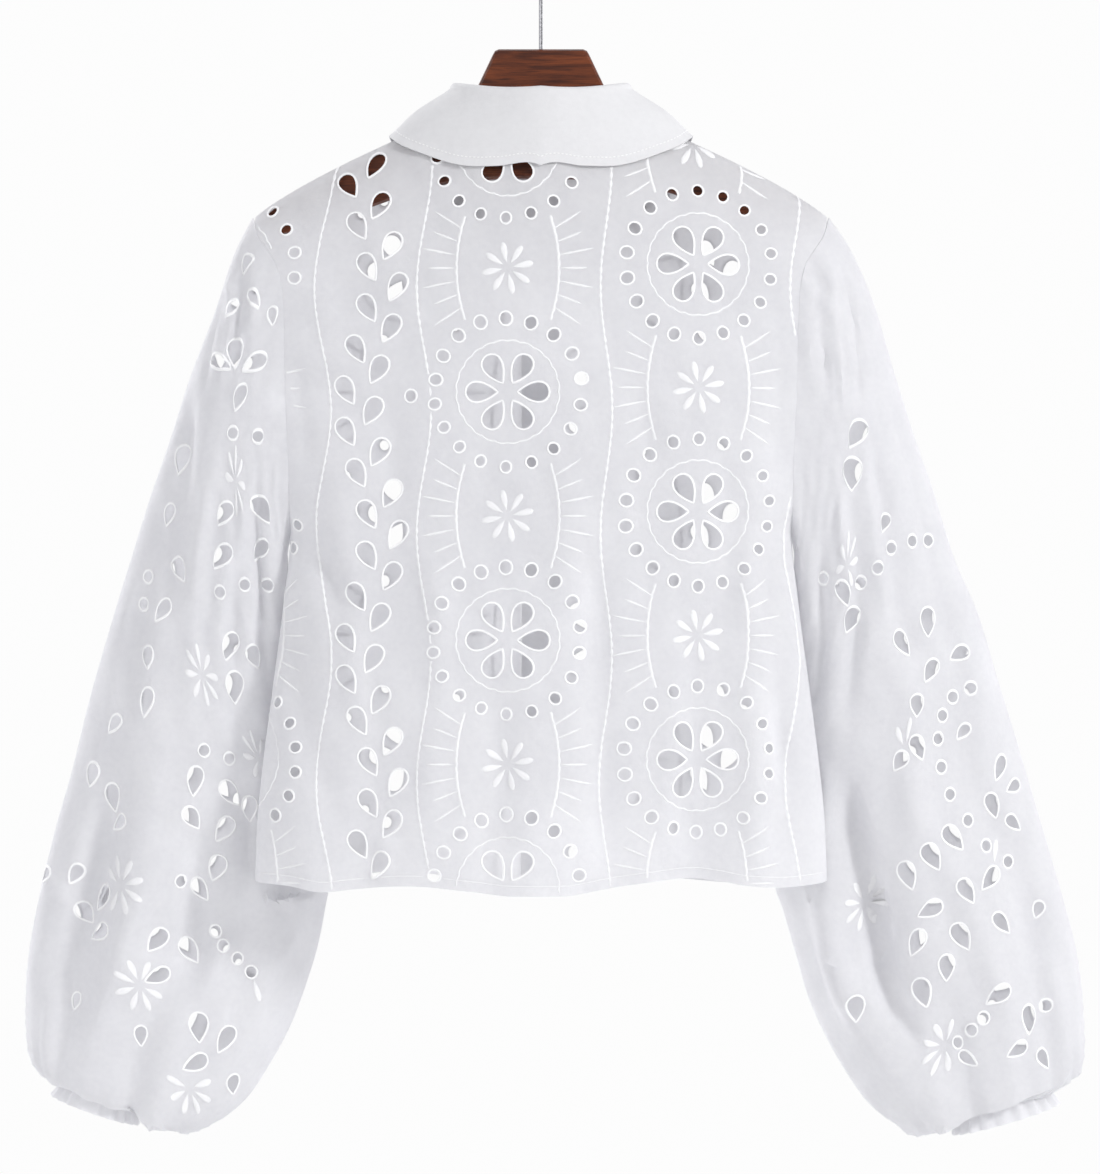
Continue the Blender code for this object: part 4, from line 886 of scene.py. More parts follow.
def oval(length, width, lean):
    """A round outline, its long side towards lean degrees."""
    t = np.linspace(0, 2 * math.pi, EYELET_SIDES, endpoint=False)
    return leaned(length / 2 * np.cos(t), width / 2 * np.sin(t), lean)


def medallions(x_shift, mirror):
    """Centres of the wheels of petals: x and drop on the cloth."""
    return [(mirror * (x + x_shift + repeat * REPEAT_ACROSS), drop + k * REPEAT_DOWN)
            for repeat in (-1, 0, 1) for x, drop in zip(*COLUMNS.values()) for k in MEDALLION_ROWS]


def body_holes(x_shift, mirror):
    """Centres and outlines of the body's holes, largest kinds first."""
    found = []
    for x, drop in medallions(x_shift, mirror):
        for petal in range(PETALS):
            a = 2 * math.pi * petal / PETALS
            shape = teardrop(PETAL_LENGTH, PETAL_WIDTH, 270 - math.degrees(a))
            found.append((x + PETAL_CENTRE * math.cos(a), drop + PETAL_CENTRE * math.sin(a), shape))
    for repeat in (-1, 0, 1):
        for k in VINE_ROWS:
            drop = VINE_DROP + k * VINE_PITCH
            hand = 1 if k % 2 else -1
            sway = VINE_SWAY * math.cos(2 * math.pi * (drop - VINE_BEND_DROP) / REPEAT_DOWN)
            x = VINE_X + x_shift + repeat * REPEAT_ACROSS - sway + hand * VINE_HALF
            found.append((mirror * x, drop, teardrop(LEAF_LENGTH, LEAF_WIDTH, mirror * -hand * LEAF_LEAN)))
    for x, drop in medallions(x_shift, mirror):
        for k in range(RING_COUNT):
            uneven = math.sin(RING_SCATTER[0] * k + RING_SCATTER[1] * drop + RING_SCATTER[2] * x)
            a = 2 * math.pi * (k + 0.5 + RING_SLIP * uneven) / RING_COUNT
            radius = RING_RADIUS + RING_WOBBLE * math.sin(RING_BEAT * k + drop)
            size = 1 + RING_SIZES * uneven
            shape = oval(size * EYELET_LENGTH, size * EYELET_WIDTH, 90 - math.degrees(a))
            found.append((x + radius * math.cos(a), drop + radius * math.sin(a), shape))
    for x, drop in zip(*EXTRA_EYELETS.values()):
        found.append((mirror * (x + x_shift), drop, oval(EYELET_LENGTH, EYELET_WIDTH, 0)))
    return found


def fitting(holes, outline):
    """The holes that lie whole within the outline and apart from each other."""
    kept, centres = [], np.empty((0, 2))
    for hole in holes:
        if not inside(outline, hole).all() or distance(outline, hole).min() < EDGE_MARGIN:
            continue
        centre = hole.mean(axis=0)
        near = np.flatnonzero(np.linalg.norm(centres - centre, axis=1) < NEIGHBOUR)
        if all(distance(kept[i], hole).min() > HOLE_GAP and not inside(kept[i], hole).any() for i in near):
            kept.append(hole)
            centres = np.vstack([centres, centre])
    return kept


def sheet_mesh(drape, outline, holes, spacing, inner, outer):
    """A thin closed shell over the charted outline, cut through at the holes."""
    low, high = outline.min(axis=0), outline.max(axis=0)
    rows = np.arange(low[1], high[1], spacing * ROW_SHARE)
    grid = np.array([(x + spacing / 2 * (k % 2), y) for k, y in enumerate(rows)
                     for x in np.arange(low[0], high[0] + spacing, spacing)])
    grid = grid[inside(outline, grid)]
    grid = grid[distance(outline, grid) > spacing * EDGE_CLEARANCE]
    for hole in holes:
        near = np.linalg.norm(grid - hole.mean(axis=0), axis=1) < NEIGHBOUR
        blocked = near.copy()
        blocked[near] = (distance(hole, grid[near]) < HOLE_CLEARANCE) | inside(hole, grid[near])
        grid = grid[~blocked]
    edges, first = [], 0
    for loop in [outline] + holes:
        edges += [(first + i, first + (i + 1) % len(loop)) for i in range(len(loop))]
        first += len(loop)
    points = np.concatenate([outline] + holes + [grid])
    flat, _, faces, _, _, _ = delaunay_2d_cdt([Vector(p) for p in points], edges, [], 0, 1e-5)
    flat = np.array([tuple(p) for p in flat])
    faces = np.array([tuple(face) for face in faces])
    centres = flat[faces].mean(axis=1)
    keep = inside(outline, centres)
    for hole in holes:
        near = np.linalg.norm(centres - hole.mean(axis=0), axis=1) < NEIGHBOUR
        keep[near] &= ~inside(hole, centres[near])
    faces = faces[keep]
    if drape.cloth.flipped:
        faces = faces[:, ::-1]
    used = np.unique(faces)
    renumber = np.full(len(flat), -1)
    renumber[used] = np.arange(len(used))
    flat, faces = flat[used], renumber[faces]
    return wall_mesh(drape.put(flat, outer), drape.put(flat, inner), faces)


def loop_normals(loop):
    """Outward unit normals of a closed outline."""
    along = np.roll(loop, -1, axis=0) - np.roll(loop, 1, axis=0)
    normals = np.stack([along[:, 1], -along[:, 0]], axis=1)
    normals /= np.linalg.norm(normals, axis=1, keepdims=True)
    outward = ((loop - loop.mean(axis=0)) * normals).sum()
    return normals * math.copysign(1, outward)


def strip(rings, closed=False):
    """A closed mesh over rings of points: capped at both ends, or joined all round."""
    count, around = rings.shape[:2]
    faces = [(i * around + j, i * around + (j + 1) % around,
              (i + 1) % count * around + (j + 1) % around, (i + 1) % count * around + j)
             for i in range(count if closed else count - 1) for j in range(around)]
    if not closed:
        faces.append(tuple(range(around))[::-1])
        faces.append(tuple(range((count - 1) * around, count * around)))
    return rings.reshape(-1, 3), faces


def rim(drape, loop, top):
    """The satin stitch round a hole."""
    normals = loop_normals(loop)
    rows = [drape.put(loop + normals * aside, top + up) for aside, up in RIM]
    return strip(np.stack(rows, axis=1), True)


def line(drape, path, width, top):
    """A raised row of stitches along a path on the chart, of that width at each point."""
    along = np.gradient(path, axis=0)
    side = np.stack([along[:, 1], -along[:, 0]], axis=1)
    side /= np.maximum(np.linalg.norm(side, axis=1, keepdims=True), 1e-9)
    side *= width[:, None] / 2
    rows = [drape.put(path + side * share, top + up * LINE_HEIGHT) for share, up in LINE]
    return strip(np.stack(rows, axis=1))


def pad(drape, loop, top):
    """A leaf or petal filled with satin stitch."""
    centre = loop.mean(axis=0)
    rows = [drape.put(centre + (loop - centre) * share, top + up * PAD_HEIGHT) for share, up in PAD]
    return strip(np.array(rows))


def star(centre):
    """A flower of narrow filled petals round a chart point."""
    loops = []
    for k in range(STAR_PETALS):
        a = 2 * math.pi * (k + STAR_TURN) / STAR_PETALS
        middle = centre + STAR_CENTRE * np.array([math.cos(a), math.sin(a)])
        loops.append(middle + teardrop(STAR_LENGTH, STAR_WIDTH, 270 - math.degrees(a), STAR_SIDES))
    return loops


def ray(centre, hand, k):
    """One of the bars that fan out beside a bracket, thin at both ends."""
    from_middle = k - (RAYS - 1) / 2
    a = math.radians(from_middle * RAY_LEAN)
    r = np.linspace(RAY_START, RAY_END - RAY_SHORTER * (k % 2), len(RAY_WIDTHS))[:, None]
    return centre + r * (hand * math.cos(a), math.sin(a)) + (0, RAY_SPREAD * from_middle), RAY_WIDTHS


def embroidery(spots, circles, chains):
    """Rows of stitches on the chart, each a path and its width, and filled outlines."""
    rows, filled = [], []
    turn = np.linspace(0, 2 * math.pi, SCALLOP_STEPS, endpoint=False)
    radius = SCALLOP_RADIUS + SCALLOP_HEIGHT * np.abs(np.sin(SCALLOPS / 2 * turn))
    ring = radius[:, None] * np.stack([np.cos(turn), np.sin(turn)], axis=1)
    for centre in circles:
        rows.append((centre + np.vstack([ring, ring[:1]]), np.full(SCALLOP_STEPS + 1, SCALLOP_WIDTH)))
    t = np.linspace(-1, 1, BRACKET_STEPS)
    knots = np.abs(np.sin(BRACKET_KNOTS * t))
    bow = BRACKET_X + BRACKET_BOW * (1 - t * t) + BRACKET_KNOT * knots
    for centre in spots:
        filled += star(centre)
        for hand in (-1, 1):
            bracket = centre + np.stack([hand * bow, BRACKET_HALF * t], axis=1)
            rows.append((bracket, BRACKET_WIDTH + BRACKET_KNOT * knots))
            rows += [ray(centre, hand, k) for k in range(RAYS)]
    down = np.arange(CHAIN_TOP, CHAIN_BOTTOM, CHAIN_BEAD / 6)
    bend = np.cos(2 * math.pi * (down - VINE_BEND_DROP) / REPEAT_DOWN)
    beads = CHAIN_WIDTH + CHAIN_BEAD_WIDTH * np.abs(np.sin(math.pi * down / CHAIN_BEAD))
    for x, sway in chains:
        rows.append((np.stack([x + sway * bend, down], axis=1), beads))
    return rows, filled


def clear_runs(path, width, outline, holes):
    """The stretches of a path that lie on the cloth, clear of its edge and its holes."""
    good = inside(outline, path)
    good &= distance(outline, path) > STITCH_MARGIN
    for hole in holes:
        near = np.linalg.norm(path - hole.mean(axis=0), axis=1) < NEIGHBOUR
        if near.any():
            good[near] &= (distance(hole, path[near]) > STITCH_HOLE_MARGIN) & ~inside(hole, path[near])
    runs, start = [], None
    for i, fine in enumerate(np.append(good, False)):
        if fine and start is None:
            start = i
        elif not fine and start is not None:
            if i - start > 2:
                runs.append((path[start:i], width[start:i]))
            start = None
    return runs


def clear_pad(loop, outline, holes):
    """Whether a filled outline lies on the cloth, clear of its edge and its holes."""
    if not inside(outline, loop).all() or distance(outline, loop).min() <= PAD_MARGIN:
        return False
    near = [hole for hole in holes if np.linalg.norm(hole.mean(axis=0) - loop.mean(axis=0)) < NEIGHBOUR]
    return all(distance(hole, loop).min() > STITCH_MARGIN and not inside(hole, loop).any() for hole in near)


def dressed(name, drape, outline, pattern, looks, spacing, lift=0.0):
    """One piece of cloth with its rims and stitches."""
    cotton, satin, dull = looks
    holes, rows, filled = pattern
    top = lift + WALL
    cloth = add(f"{name}_cloth", *sheet_mesh(drape, outline, holes, spacing, lift + INNER, top), cotton)
    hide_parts(name)
    rims = [rim(drape, hole, top) for hole in holes]
    stitches = [line(drape, *run, top) for row in rows for run in clear_runs(*row, outline, holes)]
    stitches += [pad(drape, loop, top) for loop in filled if clear_pad(loop, outline, holes)]
    for part, look, meshes in (("rims", satin, rims), ("stitches", dull, stitches)):
        if meshes:
            sewn = add(f"{name}_{part}", *merged(meshes), look)


def side_run(cloth, x, hand, side, dip):
    """Down one side of a panel: along its own edge, or a straight cut at x."""
    if x is None:
        drops = np.append(spaced(NECK_SIDE_DROP, SIDE_DROP, OUTLINE_STEP), SIDE_DROP)
        return [(cloth.span(drop)[hand], drop) for drop in drops]
    top, bottom = neck_drop(x, dip), hem_drop(side * x)
    drops = np.append(spaced(top, bottom, OUTLINE_STEP), bottom)
    return [(cloth.across(x, drop), drop) for drop in drops]


def panel_outline(cloth, side, low=None, high=None):
    """A body panel's outline on its chart, between x low and x high or out to its own edges."""
    dip = NECK_BACK_DIP if side > 0 else NECK_FRONT_DIP
    hem_from = HEM_CORNER if high is None else high
    hem_to = -HEM_CORNER if low is None else low
    neck_from = -NECK_HALF if low is None else low
    neck_to = NECK_HALF if high is None else high
    corners = side_run(cloth, high, 1, side, dip)
    for x in spaced(hem_from, hem_to, OUTLINE_STEP)[1:]:
        corners.append((cloth.across(x, hem_drop(side * x)), hem_drop(side * x)))
    corners += side_run(cloth, low, 0, side, dip)[::-1]
    for x in spaced(neck_from, neck_to, OUTLINE_STEP)[1:]:
        corners.append((cloth.across(x, neck_drop(x, dip)), neck_drop(x, dip)))
    return np.array(corners)


def sleeve_outline(cloth):
    """A sleeve half's outline on its chart."""
    last = (len(cloth.points) - 1) * ROW_STEP - ROW_SLACK
    lengths = np.append(spaced(0, last, OUTLINE_STEP), last)
    starts, ends = cloth.span(lengths)
    count = int(cloth.width[0] / OUTLINE_STEP)
    head = [(a, 0.0) for a in np.linspace(starts[0], ends[0], count)[1:-1]]
    foot = [(a, last) for a in np.linspace(ends[-1], starts[-1], FOOT_POINTS)[1:-1]]
    down = list(zip(starts, lengths))
    return np.array(down[:1] + head + list(zip(ends, lengths)) + foot + down[:0:-1])


def body_pattern(cloth, side, shift, outline):
    """A body panel's holes, rows of stitches and filled outlines."""
    holes = [cloth.draw(np.array([x, drop]), shape) for x, drop, shape in body_holes(shift, side)
             if BODY_TOP < drop < BODY_BOTTOM and abs(x) < BODY["edge"][-1]]
    wheels = [np.array(c) for c in medallions(shift, side) if abs(c[0]) < PATTERN_REACH]
    spots = [c + (0, REPEAT_DOWN / 2) for c in wheels]
    chains = [(side * (x + shift + repeat * REPEAT_ACROSS), side * sway)
              for repeat in (-1, 0, 1) for x, sway in zip(*CHAINS.values())]
    return (fitting(holes, outline), *embroidery(spots, wheels, chains))


def hem_row(cloth, side, low, high):
    """The row of stitches along a body panel's hem."""
    ends = -HEM_CORNER if low is None else low, HEM_CORNER if high is None else high
    path = [(cloth.across(x, hem_drop(side * x) - HEM_STITCH), hem_drop(side * x) - HEM_STITCH)
            for x in np.linspace(*ends, SEAM_STITCHES)]
    return np.array(path), np.full(SEAM_STITCHES, HEM_STITCH_WIDTH)


def band_row(cloth, x):
    """A row of stitches down the button band at x."""
    top, bottom = neck_drop(x, NECK_FRONT_DIP) + BAND_STITCH_END, hem_drop(x) - BAND_STITCH_END
    path = [(cloth.across(x, drop), drop) for drop in np.linspace(top, bottom, SEAM_STITCHES)]
    return np.array(path), np.full(SEAM_STITCHES, BAND_STITCH_WIDTH)


def make_body(looks):
    """The back, the two fronts and the two layers of the button band."""
    cloths = {1: body_cloth(1, BODY_FOLDS), -1: body_cloth(-1, mirrored(BODY_FOLDS))}
    for name, side, low, high, shift in (
        ("back", 1, None, None, 0.0),
        ("front_left", -1, BAND_HALF + SEAM, None, FRONT_SHIFT),
        ("front_right", -1, None, -BAND_HALF - SEAM, FRONT_SHIFT),
    ):
        cloth = cloths[side]
        creases = [(side * x0, drop0, side * x1, drop1, width, rise)
                   for x0, drop0, x1, drop1, width, rise in zip(*BODY_CREASES.values())]
        outline = panel_outline(cloth, side, low, high)
        holes, rows, filled = body_pattern(cloth, side, shift, outline)
        rows.append(hem_row(cloth, side, low, high))
        dressed(name, Drape(cloth, creases), outline, (holes, rows, filled), looks, BODY_GRID)
    front = cloths[-1]
    outline = panel_outline(front, -1, -BAND_HALF, BAND_HALF)
    rows = [band_row(front, x) for x in (BAND_STITCH - BAND_HALF, BAND_HALF - BAND_STITCH)]
    for name, seams, lift in (("placket_outer", rows, 0.0), ("placket_under", [], -WALL - BAND_GAP)):
        dressed(name, Drape(front, []), outline, ([], seams, []), looks, BODY_GRID, lift)
    return cloths[1], front


def make_sleeve(name, side, shape, looks):
    """A sleeve in two halves, parted along the overarm and the underarm."""
    rings, folds, petals, eyelets, stars, creases = shape
    shapes = [(x, drop, teardrop(length, width, lean))
              for x, drop, lean, length, width in zip(*petals.values())]
    shapes += [(x, drop, oval(EYELET_LENGTH, EYELET_WIDTH, 0)) for x, drop in zip(*eyelets.values())]
    for half, part, shift in ((1, f"{name}_back", 0), (-1, f"{name}_front", FRONT_SHIFT)):
        cloth = sleeve_cloth(rings, side, half, folds)
        drape = Drape(cloth, creases_by_share(cloth, SLEEVE_CREASES) + creases_by_place(cloth, side, creases))
        outline = sleeve_outline(cloth)
        holes, filled = [], []
        for x, drop, loop in shapes:
            centre, missed = cloth.find(side * (x + shift), drop)
            if missed < FIND_LIMIT:
                holes.append(cloth.draw(centre, loop))
        for x, drop in zip(*stars.values()):
            filled += star(cloth.find(side * (x + shift), drop)[0] + SLEEVE_STAR_SHIFT)
        dressed(part, drape, outline, (fitting(holes, outline), [], filled), looks, SLEEVE_GRID)


def make_cuff(name, side, rows, look):
    """The gathered band inside the end of a sleeve, with its ruffled edge."""
    turns = np.linspace(0, 2 * math.pi, CUFF_GATHERS * GATHER_SIDES, endpoint=False)
    over = np.array([rows["over_x"][-1], rows["over_y"][-1], -rows["over_drop"][-1]])
    under = np.array([rows["under_x"][-1], rows["under_y"][-1], -rows["under_drop"][-1]])
    reach = (over - under) / 2
    level = reach / np.linalg.norm(reach)
    out = np.array([0.0, 1.0, 0.0]) - level * level[1]
    out /= np.linalg.norm(out)
    down = np.cross(out, level)
    down *= -np.sign(down[2])
    cos, sin = np.cos(turns), np.sin(turns)
    share = np.where(turns < math.pi, turns, turns - 2 * math.pi) / math.pi
    ripple = wave(share / 2, CUFF_GATHERS, 0.0)
    radial = np.outer(cos, level) + np.outer(sin, out)
    ring = (over + under) / 2 + np.outer(cos, reach) + np.outer(sin, out) * rows["depth"][-1]
    grid = []
    for t in np.linspace(0, 1, CUFF_ROWS):
        height = CUFF_GATHER_HEIGHT + (CUFF_RUFFLE - CUFF_GATHER_HEIGHT) * ease(t)
        flare = CUFF_FLARE * ease((t - CUFF_STRAIGHT) / (1 - CUFF_STRAIGHT)) - CUFF_INSET - WALL
        flare -= CUFF_PINCH * math.exp(-((t - CUFF_PINCH_AT) / CUFF_PINCH_SPREAD) ** 2)
        along = -CUFF_TUCK + (CUFF_LENGTH + CUFF_TUCK) * t
        grid.append(ring + radial * (height * ripple + flare)[:, None] + down * along)
    grid = np.array(grid)
    grid[:, :, 0] *= side
    if side > 0:
        grid = grid[:, ::-1]
    cuff = add(f"{name}_cloth", *grid_wall(grid, WALL, True), look)
    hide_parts(name)


def thread(path, out, half, rise, sink):
    """A thread along a path in space, where out is the way up from what it is sewn to."""
    side = np.cross(np.gradient(path, axis=0), out)
    side *= half / np.linalg.norm(side, axis=1, keepdims=True)
    return strip(np.stack([path - side, path + out * rise, path + side, path - out * sink], axis=1))


def make_stand(look):
    """The collar stand, a strip lapped at the front."""
    turns = np.linspace(180 + STAND_OVERLAP, -180 - STAND_OVERLAP, STAND_STEPS)
    foot, top, out = stand_edges(turns)
    rows = [top + (foot - top) * t - out * COLLAR_WALL for t in np.linspace(0, 1, STAND_ROWS)]
    stand = add("collar_stand_cloth", *grid_wall(np.array(rows), COLLAR_WALL, False), look)
    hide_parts("collar_stand")


def leaf_grid(back, front):
    """The collar leaf's inner face: over the top of the stand, then down to its edge on the body."""
    turns = np.linspace(LEAF_END, -LEAF_END, LEAF_STEPS)
    _, top, out = stand_edges(turns)
    edge = []
    for turn, away in zip(turns, np.abs(turns)):
        x = math.copysign(smooth(away, LEAF["turn"], LEAF["x"]), turn)
        drop = shoulder_drop(x) + max(smooth(away, LEAF["turn"], LEAF["under"]), LEAF_UNDER_LEAST)
        cloth = back if away < 90 else front
        lift = LEAF_LIE + LEAF_LIFT * math.exp(-((away - 90) / LEAF_LIFT_TURNS) ** 2)
        edge.append(cloth.place(np.array([[cloth.across(x, drop), drop]]), LEAF_OUT + lift)[0])
    up = np.array([0.0, 0.0, 1.0])
    steps = np.arange(len(LEAF_CREST["out"]))
    crest = [top + out * smooth(at, steps, LEAF_CREST["out"]) + up * smooth(at, steps, LEAF_CREST["up"])
             for at in np.linspace(0, steps[-1], CREST_ROWS)]
    start = crest.pop()
    belly = (out + up * LEAF_BELLY_RISE) * LEAF_BELLY
    fall = [start + (edge - start) * t + belly * math.sin(math.pi * t) ** 2
            for t in np.linspace(0, 1, LEAF_ROWS)]
    return np.array(crest + fall)


def leaf_stitches(grid, deep):
    """Stitches one after another along the collar leaf, a little in from its edge."""
    normals = grid_normals(grid, False)
    face = grid + normals * (COLLAR_WALL + LEAF_THREAD_OUT)
    reach = (1 - LEAF_STITCH_IN / deep) * (len(grid) - 1)
    low = np.floor(reach).astype(int)
    t = (reach - low)[:, None]
    columns = np.arange(grid.shape[1])
    path = face[low, columns] * (1 - t) + face[low + 1, columns] * t
    fine = np.linspace(2, len(path) - 3, LEAF_STITCH_POINTS)
    path, way = (np.stack([np.interp(fine, columns, values[:, axis]) for axis in range(3)], axis=1)
                 for values in (path, normals[low, columns]))
    return merged([thread(path[i:i + LEAF_STITCH_RUN], way[i:i + LEAF_STITCH_RUN], *LEAF_THREAD)
                   for i in range(0, len(fine) - LEAF_STITCH_RUN, LEAF_STITCH_PITCH)])


def make_collar(back, front, lined, satin):
    """The stand, and the leaf folded down over it with its row of stitches."""
    make_stand(lined)
    grid = leaf_grid(back, front)
    leaf = add("collar_leaf_cloth", *grid_wall(grid, COLLAR_WALL, False), lined)
    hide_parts("collar_leaf")
    deep = np.linalg.norm(np.diff(grid, axis=0), axis=2).sum(axis=0)
    stitches = add("collar_leaf_stitches", *leaf_stitches(grid, deep), satin)


def make_button(name, centre, normal, look, satin):
    """A dished button with a cross of thread over its middle."""
    level = np.cross(normal, (0.0, 0.0, 1.0))
    level /= np.linalg.norm(level)
    other = np.cross(normal, level)
    turns = np.linspace(0, 2 * math.pi, BUTTON_SIDES, endpoint=False)
    circle = BUTTON_RADIUS * (np.outer(np.cos(turns), level) + np.outer(np.sin(turns), other))
    rings = [centre + normal * rise * BUTTON_THICKNESS + radius * circle for radius, rise in BUTTON_PROFILE]
    button = add(name + "_disc", *strip(np.array(rings)), look)
    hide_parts(name)
    t = np.linspace(-1, 1, BUTTON_THREAD_POINTS)
    rise = BUTTON_DISH * BUTTON_THICKNESS - BUTTON_THREAD_SINK + BUTTON_THREAD_ARCH * (1 - t ** 4)
    sewn = []
    for hand in (-1, 1):
        way = (level + hand * other) / math.sqrt(2)
        path = centre + np.outer(t * BUTTON_THREAD_HALF, way) + np.outer(rise, normal)
        sewn.append(thread(path, normal, *BUTTON_THREAD))
    stitch = add(name + "_thread", *merged(sewn), satin)


def make_buttons(front, look, satin):
    """Buttons down the band, and one that holds the lapped collar stand."""
    for k in range(BUTTON_COUNT):
        drop = BUTTON_FIRST_DROP + BUTTON_PITCH * k
        flat = np.array([[front.across(0.0, drop), drop]])
        centre = front.place(flat, WALL + BUTTON_GAP)[0]
        normal = centre - front.place(flat, 0)[0]
        make_button(f"button_{k + 1}", centre, normal / np.linalg.norm(normal), look, satin)
    ring, out = neck_ring(np.array([-179.0, -180.0, -181.0]))
    centre = ring[1] + out[1] * (STAND_LIFT - STAND_INSET + COLLAR_BUTTON_GAP)
    centre[2] += STAND["height"][-1] / 2
    make_button("button_collar", centre, out[1], look, satin)


def shader_nodes(name):
    """A new material, its node tree and shader, and the place on the object."""
    made = bpy.data.materials.new(name)
    made.use_nodes = True
    tree = made.node_tree
    return made, tree, tree.nodes["Principled BSDF"], linked(tree, "ShaderNodeTexCoord").outputs["Object"]


def linked(tree, kind, inputs=(), **settings):
    """A new node with its settings, and values or links for its inputs."""
    node = tree.nodes.new(kind)
    for key, value in settings.items():
        setattr(node, key, value)
    for key, value in dict(inputs).items():
        if isinstance(value, bpy.types.NodeSocket):
            tree.links.new(value, node.inputs[key])
        else:
            node.inputs[key].default_value = value
    return node


def ramp(tree, factor, low, high, colours):
    """A colour that runs between two colours as the factor runs from low to high."""
    node = linked(tree, "ShaderNodeValToRGB", {"Fac": factor})
    for element, at, colour in zip(node.color_ramp.elements, (low, high), colours):
        element.position = at
        element.color = (*colour, 1)
    return node.outputs["Color"]


def noise(tree, place, scale, detail, **more):
    """A cloudy factor."""
    inputs = {"Vector": place, "Scale": scale, "Detail": detail, **more}
    return linked(tree, "ShaderNodeTexNoise", inputs).outputs["Fac"]


def bump(tree, strength, distance, height, **more):
    """A normal tilted by a height."""
    inputs = {"Strength": strength, "Distance": distance, "Height": height, **more}
    return linked(tree, "ShaderNodeBump", inputs).outputs["Normal"]


def finish_look(tree, shader, colour, normal, **values):
    """Links the colour and the normal, and sets the shader's even values."""
    tree.links.new(colour, shader.inputs["Base Color"])
    if normal is not None:
        tree.links.new(normal, shader.inputs["Normal"])
    for key, value in values.items():
        shader.inputs[key.replace("_", " ")].default_value = value


def cotton_look(name, light, dark, through, weave_depth, roughness):
    """White woven cotton: threads both ways, thicker threads here and there, faint creases."""
    made, tree, shader, place = shader_nodes(name)
    waves = {"Vector": place, "Scale": 620.0, "Distortion": 1.2, "Detail": 1.0}
    warp, weft = (linked(tree, "ShaderNodeTexWave", waves, bands_direction=way).outputs["Fac"]
                  for way in "XZ")
    weave = linked(tree, "ShaderNodeMath", {0: warp, 1: weft}, operation="MAXIMUM").outputs[0]
    cloud = noise(tree, place, 24.0, 5.0, Roughness=0.6)
    slub = noise(tree, place, 260.0, 3.0)
    both = linked(tree, "ShaderNodeMath", {0: cloud, 1: slub}, operation="ADD").outputs[0]
    half = linked(tree, "ShaderNodeMath", {0: both, 1: 0.5}, operation="MULTIPLY").outputs[0]
    colour = ramp(tree, half, 0.35, 0.62, (dark, light))
    normal = bump(tree, weave_depth, 0.0003, weave, Normal=bump(tree, 0.35, 0.004, cloud))
    finish_look(tree, shader, colour, normal, Roughness=roughness, Specular_IOR_Level=0.25)
    glow = linked(tree, "ShaderNodeBsdfTranslucent", {"Color": colour, "Normal": normal})
    mix = linked(tree, "ShaderNodeMixShader", {0: through, 1: shader.outputs[0], 2: glow.outputs[0]})
    tree.links.new(mix.outputs[0], tree.nodes["Material Output"].inputs["Surface"])
    return made


def wood_look():
    """Stained wood: long grain along the hanger, pores, and a lacquered surface."""
    made, tree, shader, place = shader_nodes("stained wood")
    along = linked(tree, "ShaderNodeMapping", {"Vector": place, "Scale": (1.0, 7.0, 9.0)}).outputs["Vector"]
    fine = linked(tree, "ShaderNodeMapping", {"Vector": place, "Scale": (1.0, 26.0, 30.0)}).outputs["Vector"]
    grain = noise(tree, along, 26.0, 6.0, Distortion=0.7)
    pores = noise(tree, fine, 60.0, 3.0)
    colour = ramp(tree, grain, 0.34, 0.66, ((0.060, 0.013, 0.004), (0.170, 0.040, 0.010)))
    dark = ramp(tree, pores, 0.36, 0.5, ((0.55, 0.5, 0.5), (1, 1, 1)))
    inputs = {0: 1.0, 6: colour, 7: dark}
    mixed = linked(tree, "ShaderNodeMix", inputs, data_type="RGBA", blend_type="MULTIPLY").outputs[2]
    finish_look(tree, shader, mixed, bump(tree, 0.25, 0.0003, pores), Roughness=0.38,
                Specular_IOR_Level=0.3, Coat_Weight=0.08, Coat_Roughness=0.3)
    return made


def steel_look():
    """Drawn steel wire with fine marks on it."""
    made, tree, shader, place = shader_nodes("steel wire")
    marks = noise(tree, place, 900.0, 4.0)
    colour = ramp(tree, marks, 0.3, 0.7, ((0.09, 0.09, 0.095), (0.20, 0.20, 0.21)))
    rough = linked(tree, "ShaderNodeMapRange", {"Value": marks, "To Min": 0.12, "To Max": 0.24})
    tree.links.new(rough.outputs[0], shader.inputs["Roughness"])
    finish_look(tree, shader, colour, None, Metallic=1)
    return made


def shell_look():
    """Off-white shell with soft clouds in it."""
    made, tree, shader, place = shader_nodes("shell")
    cloud = noise(tree, place, 190.0, 4.0, Distortion=1.5)
    colour = ramp(tree, cloud, 0.3, 0.7, ((0.78, 0.77, 0.73), (0.92, 0.92, 0.90)))
    finish_look(tree, shader, colour, bump(tree, 0.2, 0.0002, cloud), Roughness=0.22, Coat_Weight=0.4)
    return made


def floor_look():
    """A pale, matt floor."""
    made, tree, shader, place = shader_nodes("pale floor")
    colour = ramp(tree, noise(tree, place, 3.0, 2.0), 0.3, 0.7, ((0.90, 0.90, 0.90), (0.93, 0.93, 0.93)))
    finish_look(tree, shader, colour, None, Roughness=0.9)
    return made


def soft_light(name, place, size, power):
    """A round light that faces the middle of the picture."""
    data = bpy.data.lights.new(name, "AREA")
    data.shape = "DISK"
    data.size = size
    data.energy = power
    light = bpy.data.objects.new(name, data)
    light.location = place
    middle = Vector((0, 0, -VIEW_DROP * MM))
    light.rotation_euler = (middle - Vector(place)).to_track_quat("-Z", "Y").to_euler()
    bpy.context.scene.collection.objects.link(light)


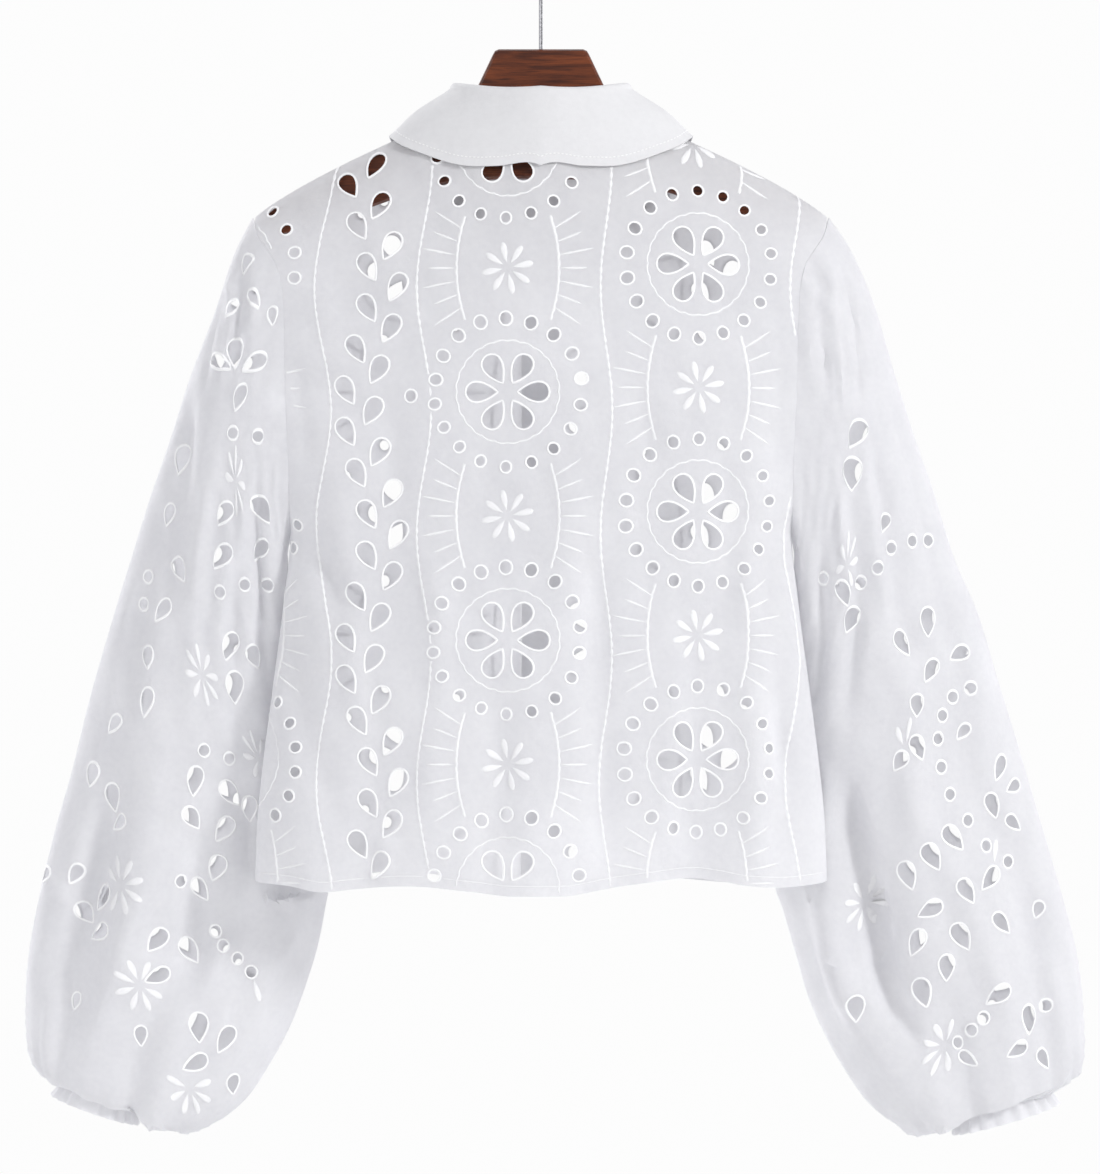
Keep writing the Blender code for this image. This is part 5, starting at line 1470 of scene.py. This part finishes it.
def make_surround(scene):
    """An even pale surround: seen by the camera as it is, and a little dimmer as light."""
    scene.world = bpy.data.worlds.new("studio")
    scene.world.use_nodes = True
    tree = scene.world.node_tree
    seen = tree.nodes["Background"]
    seen.inputs["Color"].default_value = (0.98, 0.98, 0.98, 1)
    cast = linked(tree, "ShaderNodeBackground", {"Color": (0.97, 0.97, 1.0, 1), "Strength": 0.7})
    camera_ray = linked(tree, "ShaderNodeLightPath").outputs["Is Camera Ray"]
    mix = linked(tree, "ShaderNodeMixShader", {0: camera_ray, 1: cast.outputs[0], 2: seen.outputs[0]})
    tree.links.new(mix.outputs[0], tree.nodes["World Output"].inputs["Surface"])


def make_studio():
    """A pale floor and surround, soft lights, and the camera at the picture's angle."""
    scene = bpy.context.scene
    corners = [(x * FLOOR_HALF * MM, y * FLOOR_HALF * MM, -FLOOR_DROP * MM)
               for x, y in ((-1, -1), (1, -1), (1, 1), (-1, 1))]
    mesh = bpy.data.meshes.new("floor")
    mesh.from_pydata(corners, [], [(0, 1, 2, 3)])
    mesh.materials.append(floor_look())
    floor = bpy.data.objects.new("floor", mesh)
    scene.collection.objects.link(floor)
    make_surround(scene)
    for before, turn in (("", 1), ("front ", -1)):
        for name, x, y, z, size, power in LIGHTS:
            soft_light(before + name, (turn * x, turn * y, z), size, power)

    lens = bpy.data.cameras.new("camera")
    lens.sensor_fit = "HORIZONTAL"
    lens.sensor_width = SENSOR
    lens.lens = SENSOR * VIEW_DISTANCE / VIEW_WIDTH
    lens.clip_end = 50
    camera = bpy.data.objects.new("camera", lens)
    camera.location = (VIEW_X * MM, VIEW_DISTANCE * MM, -VIEW_DROP * MM)
    camera.rotation_euler = (math.pi / 2, 0, math.pi)
    scene.collection.objects.link(camera)
    scene.camera = camera
    scene.view_settings.view_transform = "Standard"


def main():
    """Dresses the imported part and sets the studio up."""
    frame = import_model()
    cotton = cotton_look("white cotton", (0.94, 0.94, 0.95), (0.90, 0.90, 0.915), 0.54, 0.5, 0.85)
    lined = cotton_look("lined white cotton", (0.83, 0.83, 0.84), (0.80, 0.80, 0.81), 0.15, 0.5, 0.85)
    satin = cotton_look("white thread", (0.985, 0.985, 0.985), (0.95, 0.95, 0.955), 0.15, 0.25, 0.55)
    dull = cotton_look("dull white thread", (0.955, 0.955, 0.96), (0.92, 0.92, 0.93), 0.2, 0.25, 0.7)
    looks = cotton, satin, dull
    for name, look in (("hanger", wood_look()), ("hanger_hook", steel_look())):
        node = frame["nodes"][name]
        node.data.materials.clear()
        node.data.materials.append(look)
    back, front = make_body(looks)
    left = (SLEEVE_LEFT, SLEEVE_FOLDS_LEFT, SLEEVE_HOLES_LEFT,
            SLEEVE_EYELETS_LEFT, SLEEVE_STARS_LEFT, SLEEVE_CREASES_LEFT)
    right = (SLEEVE_RIGHT, SLEEVE_FOLDS_RIGHT, SLEEVE_HOLES_RIGHT,
             SLEEVE_EYELETS_RIGHT, SLEEVE_STARS_RIGHT, SLEEVE_CREASES_RIGHT)
    for name, side, shape in (("left", 1, left), ("right", -1, right)):
        make_sleeve(f"sleeve_{name}", side, shape, looks)
        make_cuff(f"cuff_{name}", side, shape[0], cotton)
    make_collar(back, front, lined, satin)
    make_buttons(front, shell_look(), satin)
    make_studio()


main()
